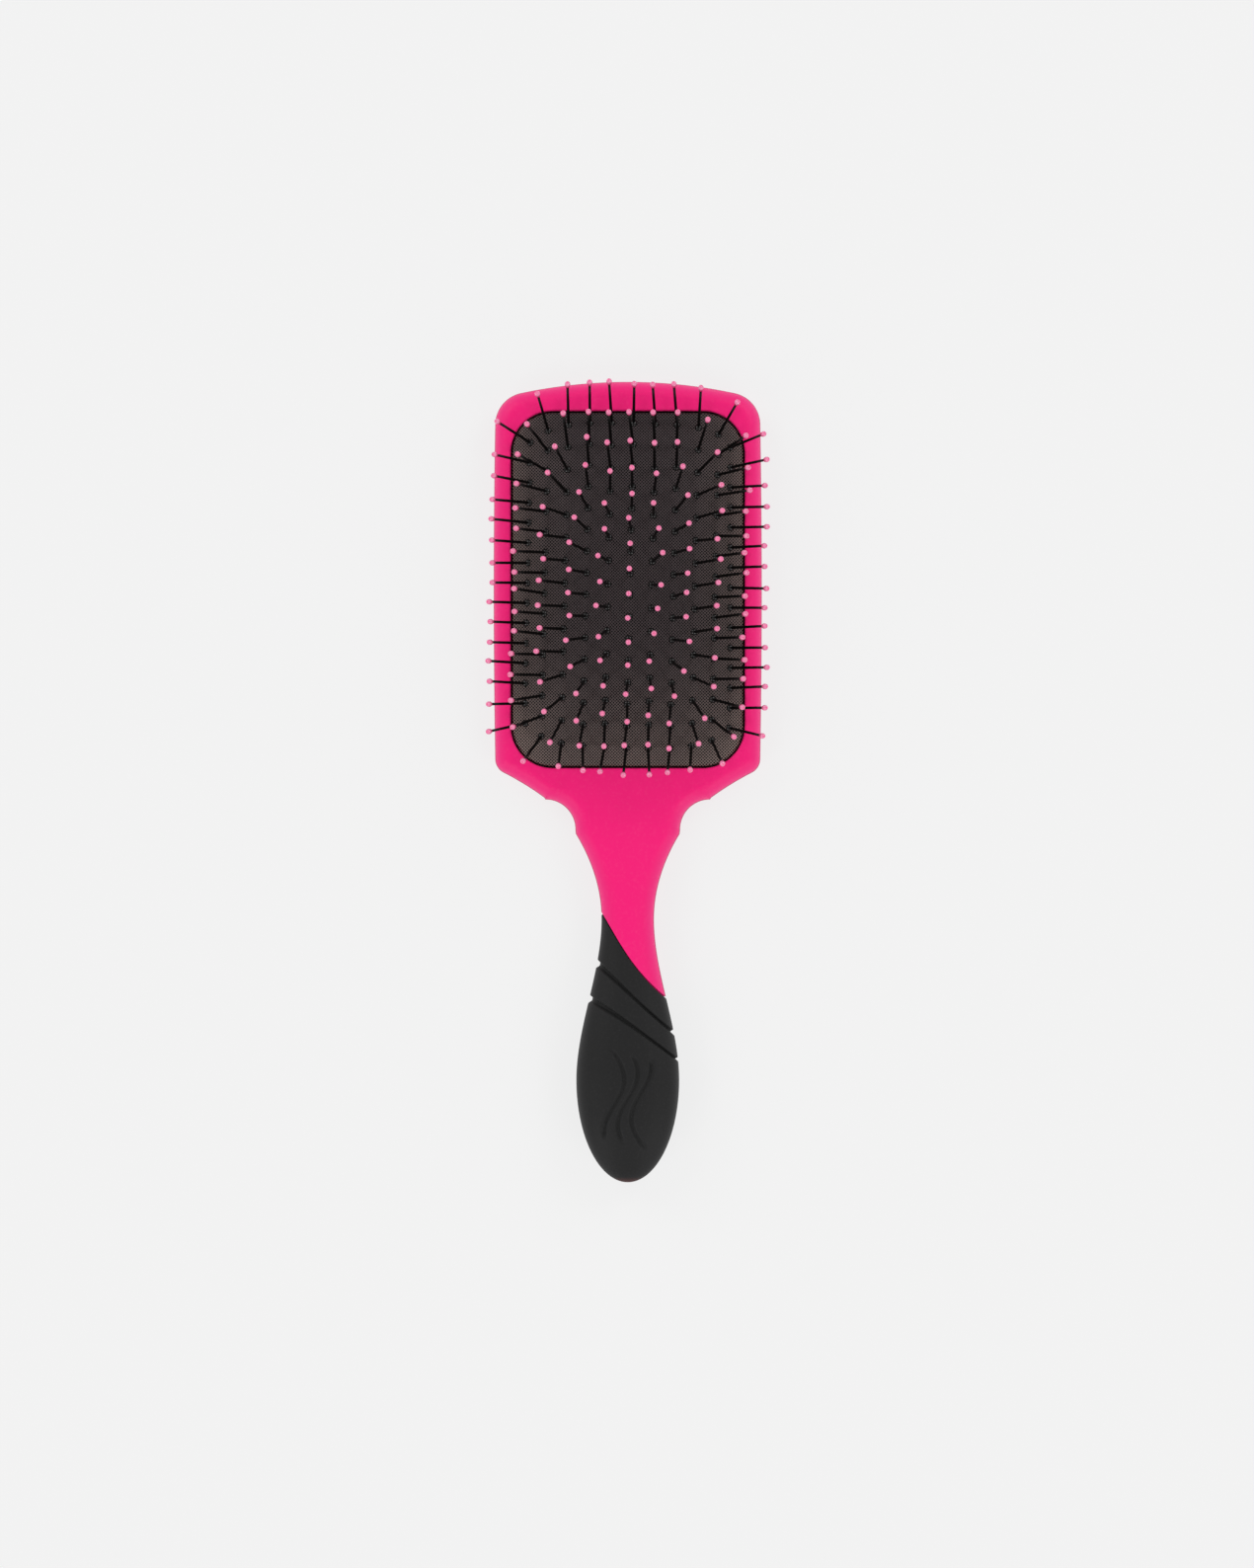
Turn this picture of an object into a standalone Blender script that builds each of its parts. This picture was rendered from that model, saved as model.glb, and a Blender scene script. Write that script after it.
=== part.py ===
"""Paddle hair brush with an air-cushioned pad, built from its separate pieces.

The brush lies on its back. +Y runs from the butt of the handle to the crown of the head,
+Z runs from the flat back of the head out along the pins, and the origin is on the back's
plane below the middle of the brush. All sizes are metres.
"""

import math

import bmesh
import bpy
import numpy as np
from mathutils import Matrix

# Plan of the paddle body (x is the half width, y the station along the brush)
LENGTH = 0.2671
CROWN_Y = LENGTH / 2
CROWN_RADIUS = 0.172
HEAD_HALF_WIDTH = 0.0443
HEAD_MIDDLE_Y = 0.064
SIDE_BOW = 0.0005
TOP_CORNER_RADIUS = 0.0108
LOW_CORNER_RADIUS = 0.0052
LOW_CORNER_Y = 0.0076
LOW_CORNER_SWEEP = 60.0
SHOULDER_BEND = (0.0343, -0.0007)
SHOULDER_END = (0.0278, -0.00545)
SCOOP_CENTRE = (0.0275, -0.0160)
SCOOP_RADIUS = 0.010
COLLAR = (0.01735, -0.0175)
NECK_HALF_WIDTH, NECK_Y = 0.00875, -0.046
GRIP_HALF_WIDTH, GRIP_Y = 0.01715, -0.0995

# Side view: height of the back, the parting line and the front at head, neck and grip
HEIGHT_STATIONS = (GRIP_Y, NECK_Y, -0.004)
BACK_HEIGHTS = (0.0, 0.0020, 0.0)
MIDDLE_HEIGHTS = (0.0100, 0.0082, 0.0060)
FRONT_HEIGHTS = (0.0200, 0.0148, 0.0120)
FRONT_EDGE_RADIUS = 0.0050
BACK_EDGE_RADIUS = 0.0090
SECTION_POWER = 2.3
SLAB_BLEND = (-0.044, -0.014)

# Grip edge and grooves: y = middle + slope * s + bend * s^2, s from -1 at left to +1 at right
GRIP_EDGE = (-0.0577, -0.0141, 0.0002)
GROOVE_LINES = ((-0.0699, -0.0114, -0.0024), (-0.0801, -0.0102, -0.0025))
GROOVE_HALF_WIDTH = 0.0009
GROOVE_DEPTH = 0.0009
GRIP_WALL = 0.0020
CORE_INSET = 0.00235
GRIP_EDGE_GAP = 0.0005
CORE_END_Y = -0.1270
GRIP_BORE_END_Y = -0.1278

# Window in the head, and the well below it that holds the pad
WINDOW_HALF = (0.0390, 0.0595)
WINDOW_Y = 0.0640
WINDOW_CORNER = 0.0140
WELL_FLOOR = 0.0026
GROOVE_LOW, GROOVE_HIGH = 0.0046, 0.0072
RIM_GROOVE_DEPTH = 0.0022
GAP = 0.0003

# Rubber pad
PAD_RIM_Z = 0.0110
PAD_RISE = 0.0100
PAD_WALL = 0.0012
PAD_SIDE_GAP = 0.0006
DOME_POWER_Y = 2.6
FRAME_WALL, FRAME_TOP = 0.0019, 0.0086

# Pins: columns run along the brush, and every second one is a pin shorter
SIDE_COLUMNS = 5
COLUMN_PITCH = 0.00727
PITCH_CLOSING = 0.0591
LONG_COLUMN, SHORT_COLUMN = 16, 15
COLUMN_MIDDLE_Y = 0.0649
COLUMN_HALF = 0.0540
COLUMN_ROUNDING = 0.0420
PIN_LENGTH = 0.0195
PIN_RADIUS = 0.00035
TIP_RADIUS = 0.00105
TIP_LENGTH = 0.0026
PIN_SIDES = 5
ROOT_HALF_WIDTH, ROOT_HEIGHT, ROOT_GAP = 0.00045, 0.0008, 0.00035

# Splay of the pins: sine of the lean at the pad's side and ends, and how it grows from the middle
SIDE_SPLAY, SIDE_GROWTH = 0.67, 0.9
END_SPLAY, END_GROWTH = 0.62, 1.5
CROWN_SPLAY = 0.12
SPLAY_CORNER = 5.0
SPLAY_REACH = 0.89

# Faceting
SECTION_COLUMNS = 11
ARC_STEPS = 6
CORNER_STEPS = 5
FINE_STEPS = 24
NECK_ROWS, CORE_ROWS, BORE_ROWS = 5, 6, 6
ROWS_BETWEEN_GROOVES = 2
BUTT_TURNS = (25.0, 45.0, 62.0, 76.0)
DOME_SHARES = (0.25, 0.5, 0.75, 0.9, 1.0)
CUTTER_HEADROOM = 0.002
OVAL_END_Y = GRIP_Y - 0.004

# Colour and roughness of each material
PINK_SOFT_TOUCH = ((0.915, 0.017, 0.171), 0.42)
BLACK_GRIP = ((0.020, 0.020, 0.020), 0.55)
DARK_PLASTIC = ((0.030, 0.030, 0.032), 0.45)
PAD_RUBBER = ((0.035, 0.030, 0.029), 0.60)
BLACK_NYLON = ((0.008, 0.008, 0.008), 0.30)


def smooth(t):
    """Ease from 0 to 1 with level ends."""
    t = np.clip(t, 0.0, 1.0)
    return t * t * (3.0 - 2.0 * t)


def ease(y, stations, values):
    """Level-ended steps between the values at rising stations."""
    result = np.full_like(y, values[0])
    for low, high, before, after in zip(stations, stations[1:], values, values[1:]):
        result = result + (after - before) * smooth((y - low) / (high - low))
    return result


def arc(centre, radius, start, end, steps):
    """Points on a circle from the start angle to the end angle, in degrees."""
    angles = np.radians(np.linspace(start, end, steps + 1))
    return np.column_stack((centre[0] + radius * np.cos(angles), centre[1] + radius * np.sin(angles)))


def head_outline(steps):
    """Right half of the head, from the crown round to the collar above the neck."""
    crown_centre = (0.0, CROWN_Y - CROWN_RADIUS)
    corner_x = HEAD_HALF_WIDTH - TOP_CORNER_RADIUS
    corner_rise = math.sqrt((CROWN_RADIUS - TOP_CORNER_RADIUS) ** 2 - corner_x**2)
    corner_y = crown_centre[1] + corner_rise
    tangent = math.degrees(math.atan2(corner_rise, corner_x))
    crown = arc(crown_centre, CROWN_RADIUS, 90.0, tangent, steps)[:-1]
    top_corner = arc((corner_x, corner_y), TOP_CORNER_RADIUS, tangent, 0.0, steps)
    side_y = np.linspace(corner_y, LOW_CORNER_Y, steps + 1)[1:-1]
    reach = (corner_y - LOW_CORNER_Y) / 2
    bow = SIDE_BOW * (1.0 - ((side_y - HEAD_MIDDLE_Y) / reach) ** 2)
    side = np.column_stack((HEAD_HALF_WIDTH + bow, side_y))
    low_x = HEAD_HALF_WIDTH - LOW_CORNER_RADIUS
    low_corner = arc((low_x, LOW_CORNER_Y), LOW_CORNER_RADIUS, 0.0, -LOW_CORNER_SWEEP, steps // 2)
    t = np.linspace(0.0, 1.0, steps // 2 + 1)[1:, None]
    start, bend, end = low_corner[-1], np.array(SHOULDER_BEND), np.array(SHOULDER_END)
    shoulder = (1 - t) ** 2 * start + 2 * t * (1 - t) * bend + t**2 * end
    scoop = arc(SCOOP_CENTRE, SCOOP_RADIUS, 90.0, 180.0, steps)
    return np.vstack((crown, top_corner, side, low_corner, shoulder, scoop, [COLLAR]))


def handle_outline(steps):
    """Right half of the neck, the grip and the butt, from below the collar to the end."""
    neck_y = np.linspace(COLLAR[1], NECK_Y, steps + 1)[1:]
    flare = ((neck_y - NECK_Y) / (COLLAR[1] - NECK_Y)) ** 2
    neck = np.column_stack((NECK_HALF_WIDTH + (COLLAR[0] - NECK_HALF_WIDTH) * flare, neck_y))
    grip_y = np.linspace(NECK_Y, GRIP_Y, steps + 1)[1:]
    swell = smooth((grip_y - NECK_Y) / (GRIP_Y - NECK_Y))
    grip = np.column_stack((NECK_HALF_WIDTH + (GRIP_HALF_WIDTH - NECK_HALF_WIDTH) * swell, grip_y))
    turn = np.linspace(0.0, math.pi / 2, steps + 1)[1:]
    butt_y = GRIP_Y - (CROWN_Y + GRIP_Y) * np.sin(turn)
    butt = np.column_stack((GRIP_HALF_WIDTH * np.cos(turn), butt_y))
    return np.vstack((neck, grip, butt))


FINE_OUTLINE = np.vstack((head_outline(FINE_STEPS), handle_outline(FINE_STEPS)))


def half_width(y):
    """Half width of the brush's plan at station y."""
    return np.interp(y, FINE_OUTLINE[::-1, 1], FINE_OUTLINE[::-1, 0])


def edge_distance(x, y):
    """Distance in plan from each point to the outline."""
    left = FINE_OUTLINE[::-1] * (-1.0, 1.0)
    loop = np.vstack((FINE_OUTLINE, left))
    start, run = loop[:-1], np.diff(loop, axis=0)
    length_sq = np.maximum((run**2).sum(axis=1), 1e-18)
    to_point = np.stack((x, y), axis=-1)[..., None, :] - start
    t = np.clip((to_point * run).sum(axis=-1) / length_sq, 0.0, 1.0)
    return np.linalg.norm(to_point - t[..., None] * run, axis=-1).min(axis=-1)


def rounded_edge(distance, radius):
    """Share of the full height at a distance inside the outline, for a quarter-round edge."""
    t = np.clip(distance / radius, 0.0, 1.0)
    return np.sqrt(1.0 - (1.0 - t) ** 2)


def body_loop(line, inset=0.0, columns=SECTION_COLUMNS):
    """One closed loop round the brush along a slanted line (middle, slope, bend).

    The loop crosses the front from left to right and returns across the back. The head is a
    slab with quarter-round edges, and it turns into a rounded oval along the neck.
    """
    s = np.sin(np.linspace(-math.pi / 2, math.pi / 2, columns))
    y = line[0] + line[1] * s + line[2] * s * s
    width = half_width(y)
    distance = edge_distance(s * width, y)
    oval = np.maximum(1.0 - np.abs(s) ** SECTION_POWER, 0.0) ** (1.0 / SECTION_POWER)
    slab = smooth((y - SLAB_BLEND[0]) / (SLAB_BLEND[1] - SLAB_BLEND[0]))
    past_grip = np.clip((GRIP_Y - y) / (CROWN_Y + GRIP_Y), 0.0, 1.0)
    butt = np.sqrt(1.0 - past_grip**2)
    middle = ease(y, HEIGHT_STATIONS, MIDDLE_HEIGHTS)
    rise = (ease(y, HEIGHT_STATIONS, FRONT_HEIGHTS) - middle) * butt - inset
    drop = (middle - ease(y, HEIGHT_STATIONS, BACK_HEIGHTS)) * butt - inset
    front = slab * rounded_edge(distance, FRONT_EDGE_RADIUS) + (1 - slab) * oval
    back = slab * rounded_edge(distance, BACK_EDGE_RADIUS) + (1 - slab) * oval
    x = s * (width - inset)
    top = np.column_stack((x, y, middle + rise * front))
    bottom = np.column_stack((x, y, middle - drop * back))
    return np.vstack((top, bottom[-2:0:-1]))


def between(first, last, count):
    """Lines stepping evenly from the first slanted line to the last, without the first."""
    steps = np.linspace(0.0, 1.0, count + 1)[1:, None]
    return list(np.array(first) * (1 - steps) + np.array(last) * steps)


def shifted(line, distance):
    """The slanted line moved along the brush."""
    return (line[0] + distance, line[1], line[2])


def rounded_rectangle(offset, z, steps=CORNER_STEPS):
    """Loop of the window's outline moved outwards by an offset, at a height."""
    radius = WINDOW_CORNER + offset
    loop = []
    for quarter, (side_x, side_y) in enumerate(((1, 1), (-1, 1), (-1, -1), (1, -1))):
        centre_x = side_x * (WINDOW_HALF[0] - WINDOW_CORNER)
        centre_y = WINDOW_Y + side_y * (WINDOW_HALF[1] - WINDOW_CORNER)
        loop.append(arc((centre_x, centre_y), radius, 90.0 * quarter, 90.0 * (quarter + 1), steps))
    plan = np.vstack(loop)
    return np.column_stack((plan, np.broadcast_to(z, len(plan))))


def dome_height(x, y):
    """Height of the pad's front surface."""
    across = 1.0 - (x / WINDOW_HALF[0]) ** 2
    along = 1.0 - np.abs((y - WINDOW_Y) / WINDOW_HALF[1]) ** DOME_POWER_Y
    return PAD_RIM_Z + PAD_RISE * across * along


def dome_loop(offset, scale, lowered):
    """Loop on the domed pad, at a share of the way from its middle to the offset edge."""
    loop = rounded_rectangle(offset, 0.0)
    loop[:, 0] *= scale
    loop[:, 1] = WINDOW_Y + (loop[:, 1] - WINDOW_Y) * scale
    loop[:, 2] = dome_height(loop[:, 0], loop[:, 1]) - lowered
    return loop


def skin(name, loops, first_pole=None, last_pole=None, ring=False):
    """Mesh that joins equal loops in order, closed by a point at each end or into a ring."""
    mesh = bpy.data.meshes.new(name)
    bm = bmesh.new()
    rows = [[bm.verts.new(point) for point in loop] for loop in loops]
    pairs = list(zip(rows, rows[1:] + rows[:1])) if ring else list(zip(rows, rows[1:]))
    for row, following in pairs:
        for i in range(len(row)):
            j = (i + 1) % len(row)
            bm.faces.new((row[i], row[j], following[j], following[i]))
    for row, pole in ((rows[0], first_pole), (rows[-1], last_pole)):
        if ring:
            continue
        tip = bm.verts.new(pole)
        for i in range(len(row)):
            bm.faces.new((row[i], row[(i + 1) % len(row)], tip))
    bmesh.ops.recalc_face_normals(bm, faces=bm.faces)
    bm.to_mesh(mesh)
    bm.free()
    return mesh


def make_material(name, colour, roughness):
    """Principled material in one colour; nothing on the brush is metal."""
    material = bpy.data.materials.new(name)
    material.use_nodes = True
    shader = material.node_tree.nodes["Principled BSDF"]
    shader.inputs["Base Color"].default_value = (*colour, 1.0)
    shader.inputs["Roughness"].default_value = roughness
    shader.inputs["Metallic"].default_value = 0.0
    return material


def add_object(mesh, material, origin=(0.0, 0.0, 0.0), parent=None, sharp_angle=40.0):
    """Named object for a mesh built in world space, with its own origin kept in place."""
    origin = np.array(origin, float)
    mesh.transform(Matrix.Translation(-origin))
    mesh.materials.append(material)
    mesh.shade_smooth()
    mesh.set_sharp_from_angle(angle=math.radians(sharp_angle))
    obj = bpy.data.objects.new(mesh.name, mesh)
    bpy.context.scene.collection.objects.link(obj)
    parent_origin = np.array(parent.location, float) if parent else np.zeros(3)
    obj.location = origin - parent_origin
    obj.parent = parent
    return obj


def boolean(obj, tool_mesh, operation):
    """Applies a boolean with a tool mesh in world space, and removes the tool."""
    tool = bpy.data.objects.new(tool_mesh.name, tool_mesh)
    tool.hide_render = True
    tool.display_type = "WIRE"
    bpy.context.scene.collection.objects.link(tool)
    modifier = obj.modifiers.new("join", "BOOLEAN")
    modifier.operation = operation
    modifier.solver = "EXACT"
    modifier.object = tool
    bpy.context.view_layer.update()
    evaluated = obj.evaluated_get(bpy.context.evaluated_depsgraph_get())
    result = bpy.data.meshes.new_from_object(evaluated)
    obj.modifiers.remove(modifier)
    old = obj.data
    result.name, old.name = old.name, result.name
    obj.data = result
    bpy.data.objects.remove(tool)
    bpy.data.meshes.remove(old)
    bpy.data.meshes.remove(tool_mesh)


def build_body(material):
    """Head, neck and the core inside the grip in one moulding, with the pad's well cut in."""
    straight = [(y, 0.0, 0.0) for y in head_outline(ARC_STEPS)[1:, 1]]
    neck = between(straight[-1], GRIP_EDGE, NECK_ROWS)
    loops = [body_loop(line) for line in straight + neck]
    core = [GRIP_EDGE] + between(GRIP_EDGE, (CORE_END_Y, 0.0, 0.0), CORE_ROWS)
    loops += [body_loop(line, inset=CORE_INSET) for line in core]
    crown_point = (0.0, CROWN_Y, MIDDLE_HEIGHTS[2])
    core_point = (0.0, CORE_END_Y, MIDDLE_HEIGHTS[0])
    body = add_object(skin("paddle_body", loops, crown_point, core_point), material)
    boolean(body, well_cutter(), "DIFFERENCE")
    return body


def well_cutter():
    """Straight-sided well under the window, with the groove that grips the pad's flange."""
    above = FRONT_HEIGHTS[2] + CUTTER_HEADROOM
    profile = (
        (0.0, above),
        (0.0, GROOVE_HIGH),
        (RIM_GROOVE_DEPTH, GROOVE_HIGH),
        (RIM_GROOVE_DEPTH, GROOVE_LOW),
        (0.0, GROOVE_LOW),
        (0.0, WELL_FLOOR),
    )
    loops = [rounded_rectangle(offset, z) for offset, z in profile]
    return skin("well_cutter", loops, (0.0, WINDOW_Y, above), (0.0, WINDOW_Y, WELL_FLOOR))


def build_grip(material):
    """Soft sleeve over the handle core, with two slanting grooves pressed into it."""
    edge = shifted(GRIP_EDGE, -GRIP_EDGE_GAP)
    outside = [(edge, 0.0)]
    for groove in GROOVE_LINES:
        lead_in = between(outside[-1][0], shifted(groove, GROOVE_HALF_WIDTH), ROWS_BETWEEN_GROOVES)
        outside += [(line, 0.0) for line in lead_in]
        outside.append((groove, GROOVE_DEPTH))
        outside.append((shifted(groove, -GROOVE_HALF_WIDTH), 0.0))
    swell = between(outside[-1][0], (OVAL_END_Y, 0.0, 0.0), ROWS_BETWEEN_GROOVES)
    outside += [(line, 0.0) for line in swell]
    turns = np.radians(BUTT_TURNS)
    outside += [((GRIP_Y - (CROWN_Y + GRIP_Y) * math.sin(turn), 0.0, 0.0), 0.0) for turn in turns]
    bore = [edge] + between(edge, (GRIP_BORE_END_Y, 0.0, 0.0), BORE_ROWS)
    loops = [body_loop(line, inset) for line, inset in outside]
    loops.reverse()
    loops += [body_loop(line, inset=GRIP_WALL) for line in bore]
    butt_point = (0.0, -CROWN_Y, MIDDLE_HEIGHTS[0])
    bore_point = (0.0, GRIP_BORE_END_Y, MIDDLE_HEIGHTS[0])
    return add_object(skin("grip_sleeve", loops, butt_point, bore_point), material)


def build_pad(material, carrier):
    """Domed rubber membrane with a side wall and a flange that sits in the well's groove."""
    outer, inner = -PAD_SIDE_GAP, -PAD_SIDE_GAP - PAD_WALL
    flange = RIM_GROOVE_DEPTH - GAP
    loops = [dome_loop(outer, share, 0.0) for share in DOME_SHARES]
    loops.append(rounded_rectangle(outer, GROOVE_HIGH - GAP))
    loops.append(rounded_rectangle(flange, GROOVE_HIGH - GAP))
    loops.append(rounded_rectangle(flange, GROOVE_LOW + GAP))
    loops.append(rounded_rectangle(inner, GROOVE_LOW + GAP))
    loops += [dome_loop(inner, share, PAD_WALL) for share in reversed(DOME_SHARES)]
    crown = dome_height(0.0, WINDOW_Y)
    poles = ((0.0, WINDOW_Y, crown), (0.0, WINDOW_Y, crown - PAD_WALL))
    return add_object(skin("cushion_pad", loops, *poles), material, carrier.location, carrier)


def build_rim_frame(material):
    """Stiff frame inside the pad's wall that keeps the flange pressed into its groove."""
    outer = -PAD_SIDE_GAP - PAD_WALL - GAP
    inner = outer - FRAME_WALL
    low = WELL_FLOOR + GAP
    corners = ((outer, low), (outer, FRAME_TOP), (inner, FRAME_TOP), (inner, low))
    loops = [rounded_rectangle(offset, z) for offset, z in corners]
    return add_object(skin("rim_frame", loops, ring=True), material)


def column_x(column):
    """Distance of a pin column from the middle line. The pitch closes towards the sides."""
    share = column / SIDE_COLUMNS
    return COLUMN_PITCH * column * (1.0 - PITCH_CLOSING * share**4)


def column_stations(column):
    """Stations of the pins in one column, from its low end to its top end."""
    x = column_x(column)
    half = COLUMN_HALF * (1.0 - (abs(x) / COLUMN_ROUNDING) ** 4) ** 0.25
    count = SHORT_COLUMN if column % 2 else LONG_COLUMN
    return COLUMN_MIDDLE_Y + np.linspace(-half, half, count)


def pin_direction(x, y):
    """Unit direction of a pin: upright at the pad's middle, and splayed outwards towards its edge.

    Lines of equal splay are rounded rectangles, and each pin leans square to its own line.
    """
    u, v = abs(x) / WINDOW_HALF[0], abs(y - WINDOW_Y) / WINDOW_HALF[1]
    outward = np.array((u, v)) ** (SPLAY_CORNER - 1) / np.array(WINDOW_HALF)
    outward /= max(np.linalg.norm(outward), 1e-9)
    reach = min((u**SPLAY_CORNER + v**SPLAY_CORNER) ** (1 / SPLAY_CORNER), SPLAY_REACH)
    end_splay = END_SPLAY * (1.0 + CROWN_SPLAY * (y - WINDOW_Y) / WINDOW_HALF[1])
    side_part = outward[0] ** 2 * SIDE_SPLAY * reach**SIDE_GROWTH
    end_part = outward[1] ** 2 * end_splay * reach**END_GROWTH
    lean = outward * (side_part + end_part) * np.sign((x, y - WINDOW_Y))
    return np.array((lean[0], lean[1], math.sqrt(1.0 - lean @ lean)))


def pin_loops(x, y):
    """Loops of one pin, its end point and its root point."""
    direction = pin_direction(x, y)
    side = np.cross((0.0, 1.0 if x >= 0 else -1.0, 0.0), direction)
    side /= np.linalg.norm(side)
    other = np.cross(direction, side)
    foot = np.array((x, y, dome_height(x, y) + ROOT_GAP))
    root = foot + direction * ROOT_HEIGHT * 0.5
    stages = (
        (root, PIN_RADIUS),
        (foot + direction * (PIN_LENGTH - TIP_LENGTH), PIN_RADIUS),
        (foot + direction * (PIN_LENGTH - TIP_RADIUS), TIP_RADIUS),
    )
    turns = np.linspace(0.0, 2 * math.pi, PIN_SIDES, endpoint=False)[:, None]
    loops = [at + radius * (np.cos(turns) * side + np.sin(turns) * other) for at, radius in stages]
    return loops, foot + direction * PIN_LENGTH, root


def root_strip(name, x, stations):
    """Narrow strip that follows the pad under one row of pins and ties them together."""
    ends = (stations[0] - ROOT_HALF_WIDTH * 2, stations[-1] + ROOT_HALF_WIDTH * 2)
    loops = []
    for y in (ends[0], *(stations[1:] + stations[:-1]) / 2, ends[1]):
        corners = []
        for side, height in ((-1, 0.0), (1, 0.0), (1, ROOT_HEIGHT), (-1, ROOT_HEIGHT)):
            edge = x + side * ROOT_HALF_WIDTH
            corners.append((edge, y, dome_height(edge, y) + ROOT_GAP + height))
        loops.append(np.array(corners))
    return skin(name, loops, loops[0].mean(axis=0), loops[-1].mean(axis=0))


def join_pins(name, x, stations):
    """One mesh that holds the separate pins of a row."""
    bm = bmesh.new()
    for y in stations:
        loops, end, root = pin_loops(x, y)
        pin = skin(name, loops, root, end)
        bm.from_mesh(pin)
        bpy.data.meshes.remove(pin)
    mesh = bpy.data.meshes.new(name)
    bm.to_mesh(mesh)
    bm.free()
    return mesh


def row_pivot(x, stations):
    """Point on the row's lean axis, and the axis, which is the chord through its roots."""
    low, high = stations[0], stations[-1]
    axis = np.array((0.0, high - low, dome_height(x, high) - dome_height(x, low)))
    heights = dome_height(x, np.array(stations))
    return np.array((x, stations.mean(), heights.mean())), axis / np.linalg.norm(axis)


def pin_rows():
    """Name, distance from the middle and stations of each half column of pins."""
    for column in range(-SIDE_COLUMNS, SIDE_COLUMNS + 1):
        stations = column_stations(column)
        middle = len(stations) // 2
        number = column + SIDE_COLUMNS + 1
        yield f"pins_{number:02d}_low", column_x(column), stations[:middle]
        yield f"pins_{number:02d}_top", column_x(column), stations[middle:]


def build_pins(material, carrier):
    """Every half column of pins, each turning about the line through its roots."""
    for name, x, stations in pin_rows():
        pivot, _ = row_pivot(x, stations)
        row = add_object(root_strip(name, x, stations), material)
        boolean(row, join_pins(name + "_pins", x, stations), "UNION")
        row.data.transform(Matrix.Translation(-pivot))
        row.parent = carrier
        row.location = pivot - np.array(carrier.location)


def main():
    """Clears the file and builds the brush."""
    for obj in list(bpy.data.objects):
        bpy.data.objects.remove(obj)
    carrier = bpy.data.objects.new("cushion_carrier", None)
    carrier.location = (0.0, WINDOW_Y, PAD_RIM_Z)
    bpy.context.scene.collection.objects.link(carrier)
    build_body(make_material("pink_soft_touch", *PINK_SOFT_TOUCH))
    build_grip(make_material("black_grip", *BLACK_GRIP))
    build_rim_frame(make_material("frame_plastic", *DARK_PLASTIC))
    build_pad(make_material("pad_rubber", *PAD_RUBBER), carrier)
    build_pins(make_material("pin_nylon", *BLACK_NYLON), carrier)


main()
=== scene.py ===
"""Looks of a paddle hair brush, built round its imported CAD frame.

The brush lies on its back with its head towards +Y and its pins along +Z. Every length is in
metres. The plan of the body, the dome of the pad and the columns of pins follow the same driving
sizes as the CAD solids, and each finished piece takes the place of the solid it replaces. The pins
are the exception in where they end: they have a closer splay than the solids and sit turned a
little on the pad, so most ends are within 3 mm of the solids' ends, and the furthest is 7 mm away.
"""

import logging
import math
from collections.abc import Callable, Iterator, Sequence
from dataclasses import dataclass, field
from enum import Enum

import bmesh
import bpy
import numpy as np
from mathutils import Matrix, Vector


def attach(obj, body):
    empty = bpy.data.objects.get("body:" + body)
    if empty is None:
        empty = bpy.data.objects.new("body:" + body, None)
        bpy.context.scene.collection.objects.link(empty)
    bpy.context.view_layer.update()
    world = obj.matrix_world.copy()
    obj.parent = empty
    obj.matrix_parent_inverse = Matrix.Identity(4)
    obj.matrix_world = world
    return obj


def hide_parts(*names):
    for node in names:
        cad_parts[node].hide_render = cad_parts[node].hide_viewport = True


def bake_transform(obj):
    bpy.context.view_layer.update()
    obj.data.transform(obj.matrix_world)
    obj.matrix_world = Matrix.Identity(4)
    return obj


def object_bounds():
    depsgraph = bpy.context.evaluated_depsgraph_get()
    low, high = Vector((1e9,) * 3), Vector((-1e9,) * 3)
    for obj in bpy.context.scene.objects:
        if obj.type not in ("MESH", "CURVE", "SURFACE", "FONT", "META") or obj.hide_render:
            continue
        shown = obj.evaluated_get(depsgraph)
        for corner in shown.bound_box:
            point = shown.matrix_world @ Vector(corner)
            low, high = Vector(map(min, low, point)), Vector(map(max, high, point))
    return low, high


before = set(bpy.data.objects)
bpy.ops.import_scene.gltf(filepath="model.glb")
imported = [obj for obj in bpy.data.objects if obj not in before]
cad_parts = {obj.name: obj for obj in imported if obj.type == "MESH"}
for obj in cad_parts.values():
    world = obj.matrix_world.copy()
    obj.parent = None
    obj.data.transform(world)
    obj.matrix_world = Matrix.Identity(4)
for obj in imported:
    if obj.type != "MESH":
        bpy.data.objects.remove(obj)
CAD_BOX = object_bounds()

LOG = logging.getLogger("paddle_brush")
Line = tuple[float, float, float]
Shade = tuple[float, float, float]
Socket = bpy.types.NodeSocket
Sockets = bpy.types.bpy_prop_collection
Relief = tuple[Socket, float, float]


class Body(Enum):
    """Bodies of the frame that the finished pieces ride on."""

    PADDLE = "paddle"
    CUSHION = "cushion"


class Half(Enum):
    """The two halves of a pin column, as the frame names them."""

    LOW = "low"
    TOP = "top"


class Slot(Enum):
    """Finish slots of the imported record."""

    BODY = "soft_touch_body"
    GRIP = "grip_rubber"
    FRAME = "frame_plastic"
    PAD = "pad_rubber"
    PIN = "pin_nylon"
    BEAD = "tip_resin"


# ---------------------------------------------------------------- shapes


def smooth(t: np.ndarray) -> np.ndarray:
    """Ease from 0 to 1 with level ends."""
    t = np.clip(t, 0.0, 1.0)
    return t * t * (3.0 - 2.0 * t)


def ease(y: np.ndarray, stations: Sequence[float], values: Sequence[float]) -> np.ndarray:
    """Step smoothly between values at rising stations.

    Args:
        y: Stations to read.
        stations: Rising stations where the values hold.
        values: One value for each station.

    Returns:
        The eased value at each y.
    """
    result = np.full_like(y, values[0])
    for low, high, before, after in zip(stations, stations[1:], values, values[1:]):
        result = result + (after - before) * smooth((y - low) / (high - low))
    return result


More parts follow.
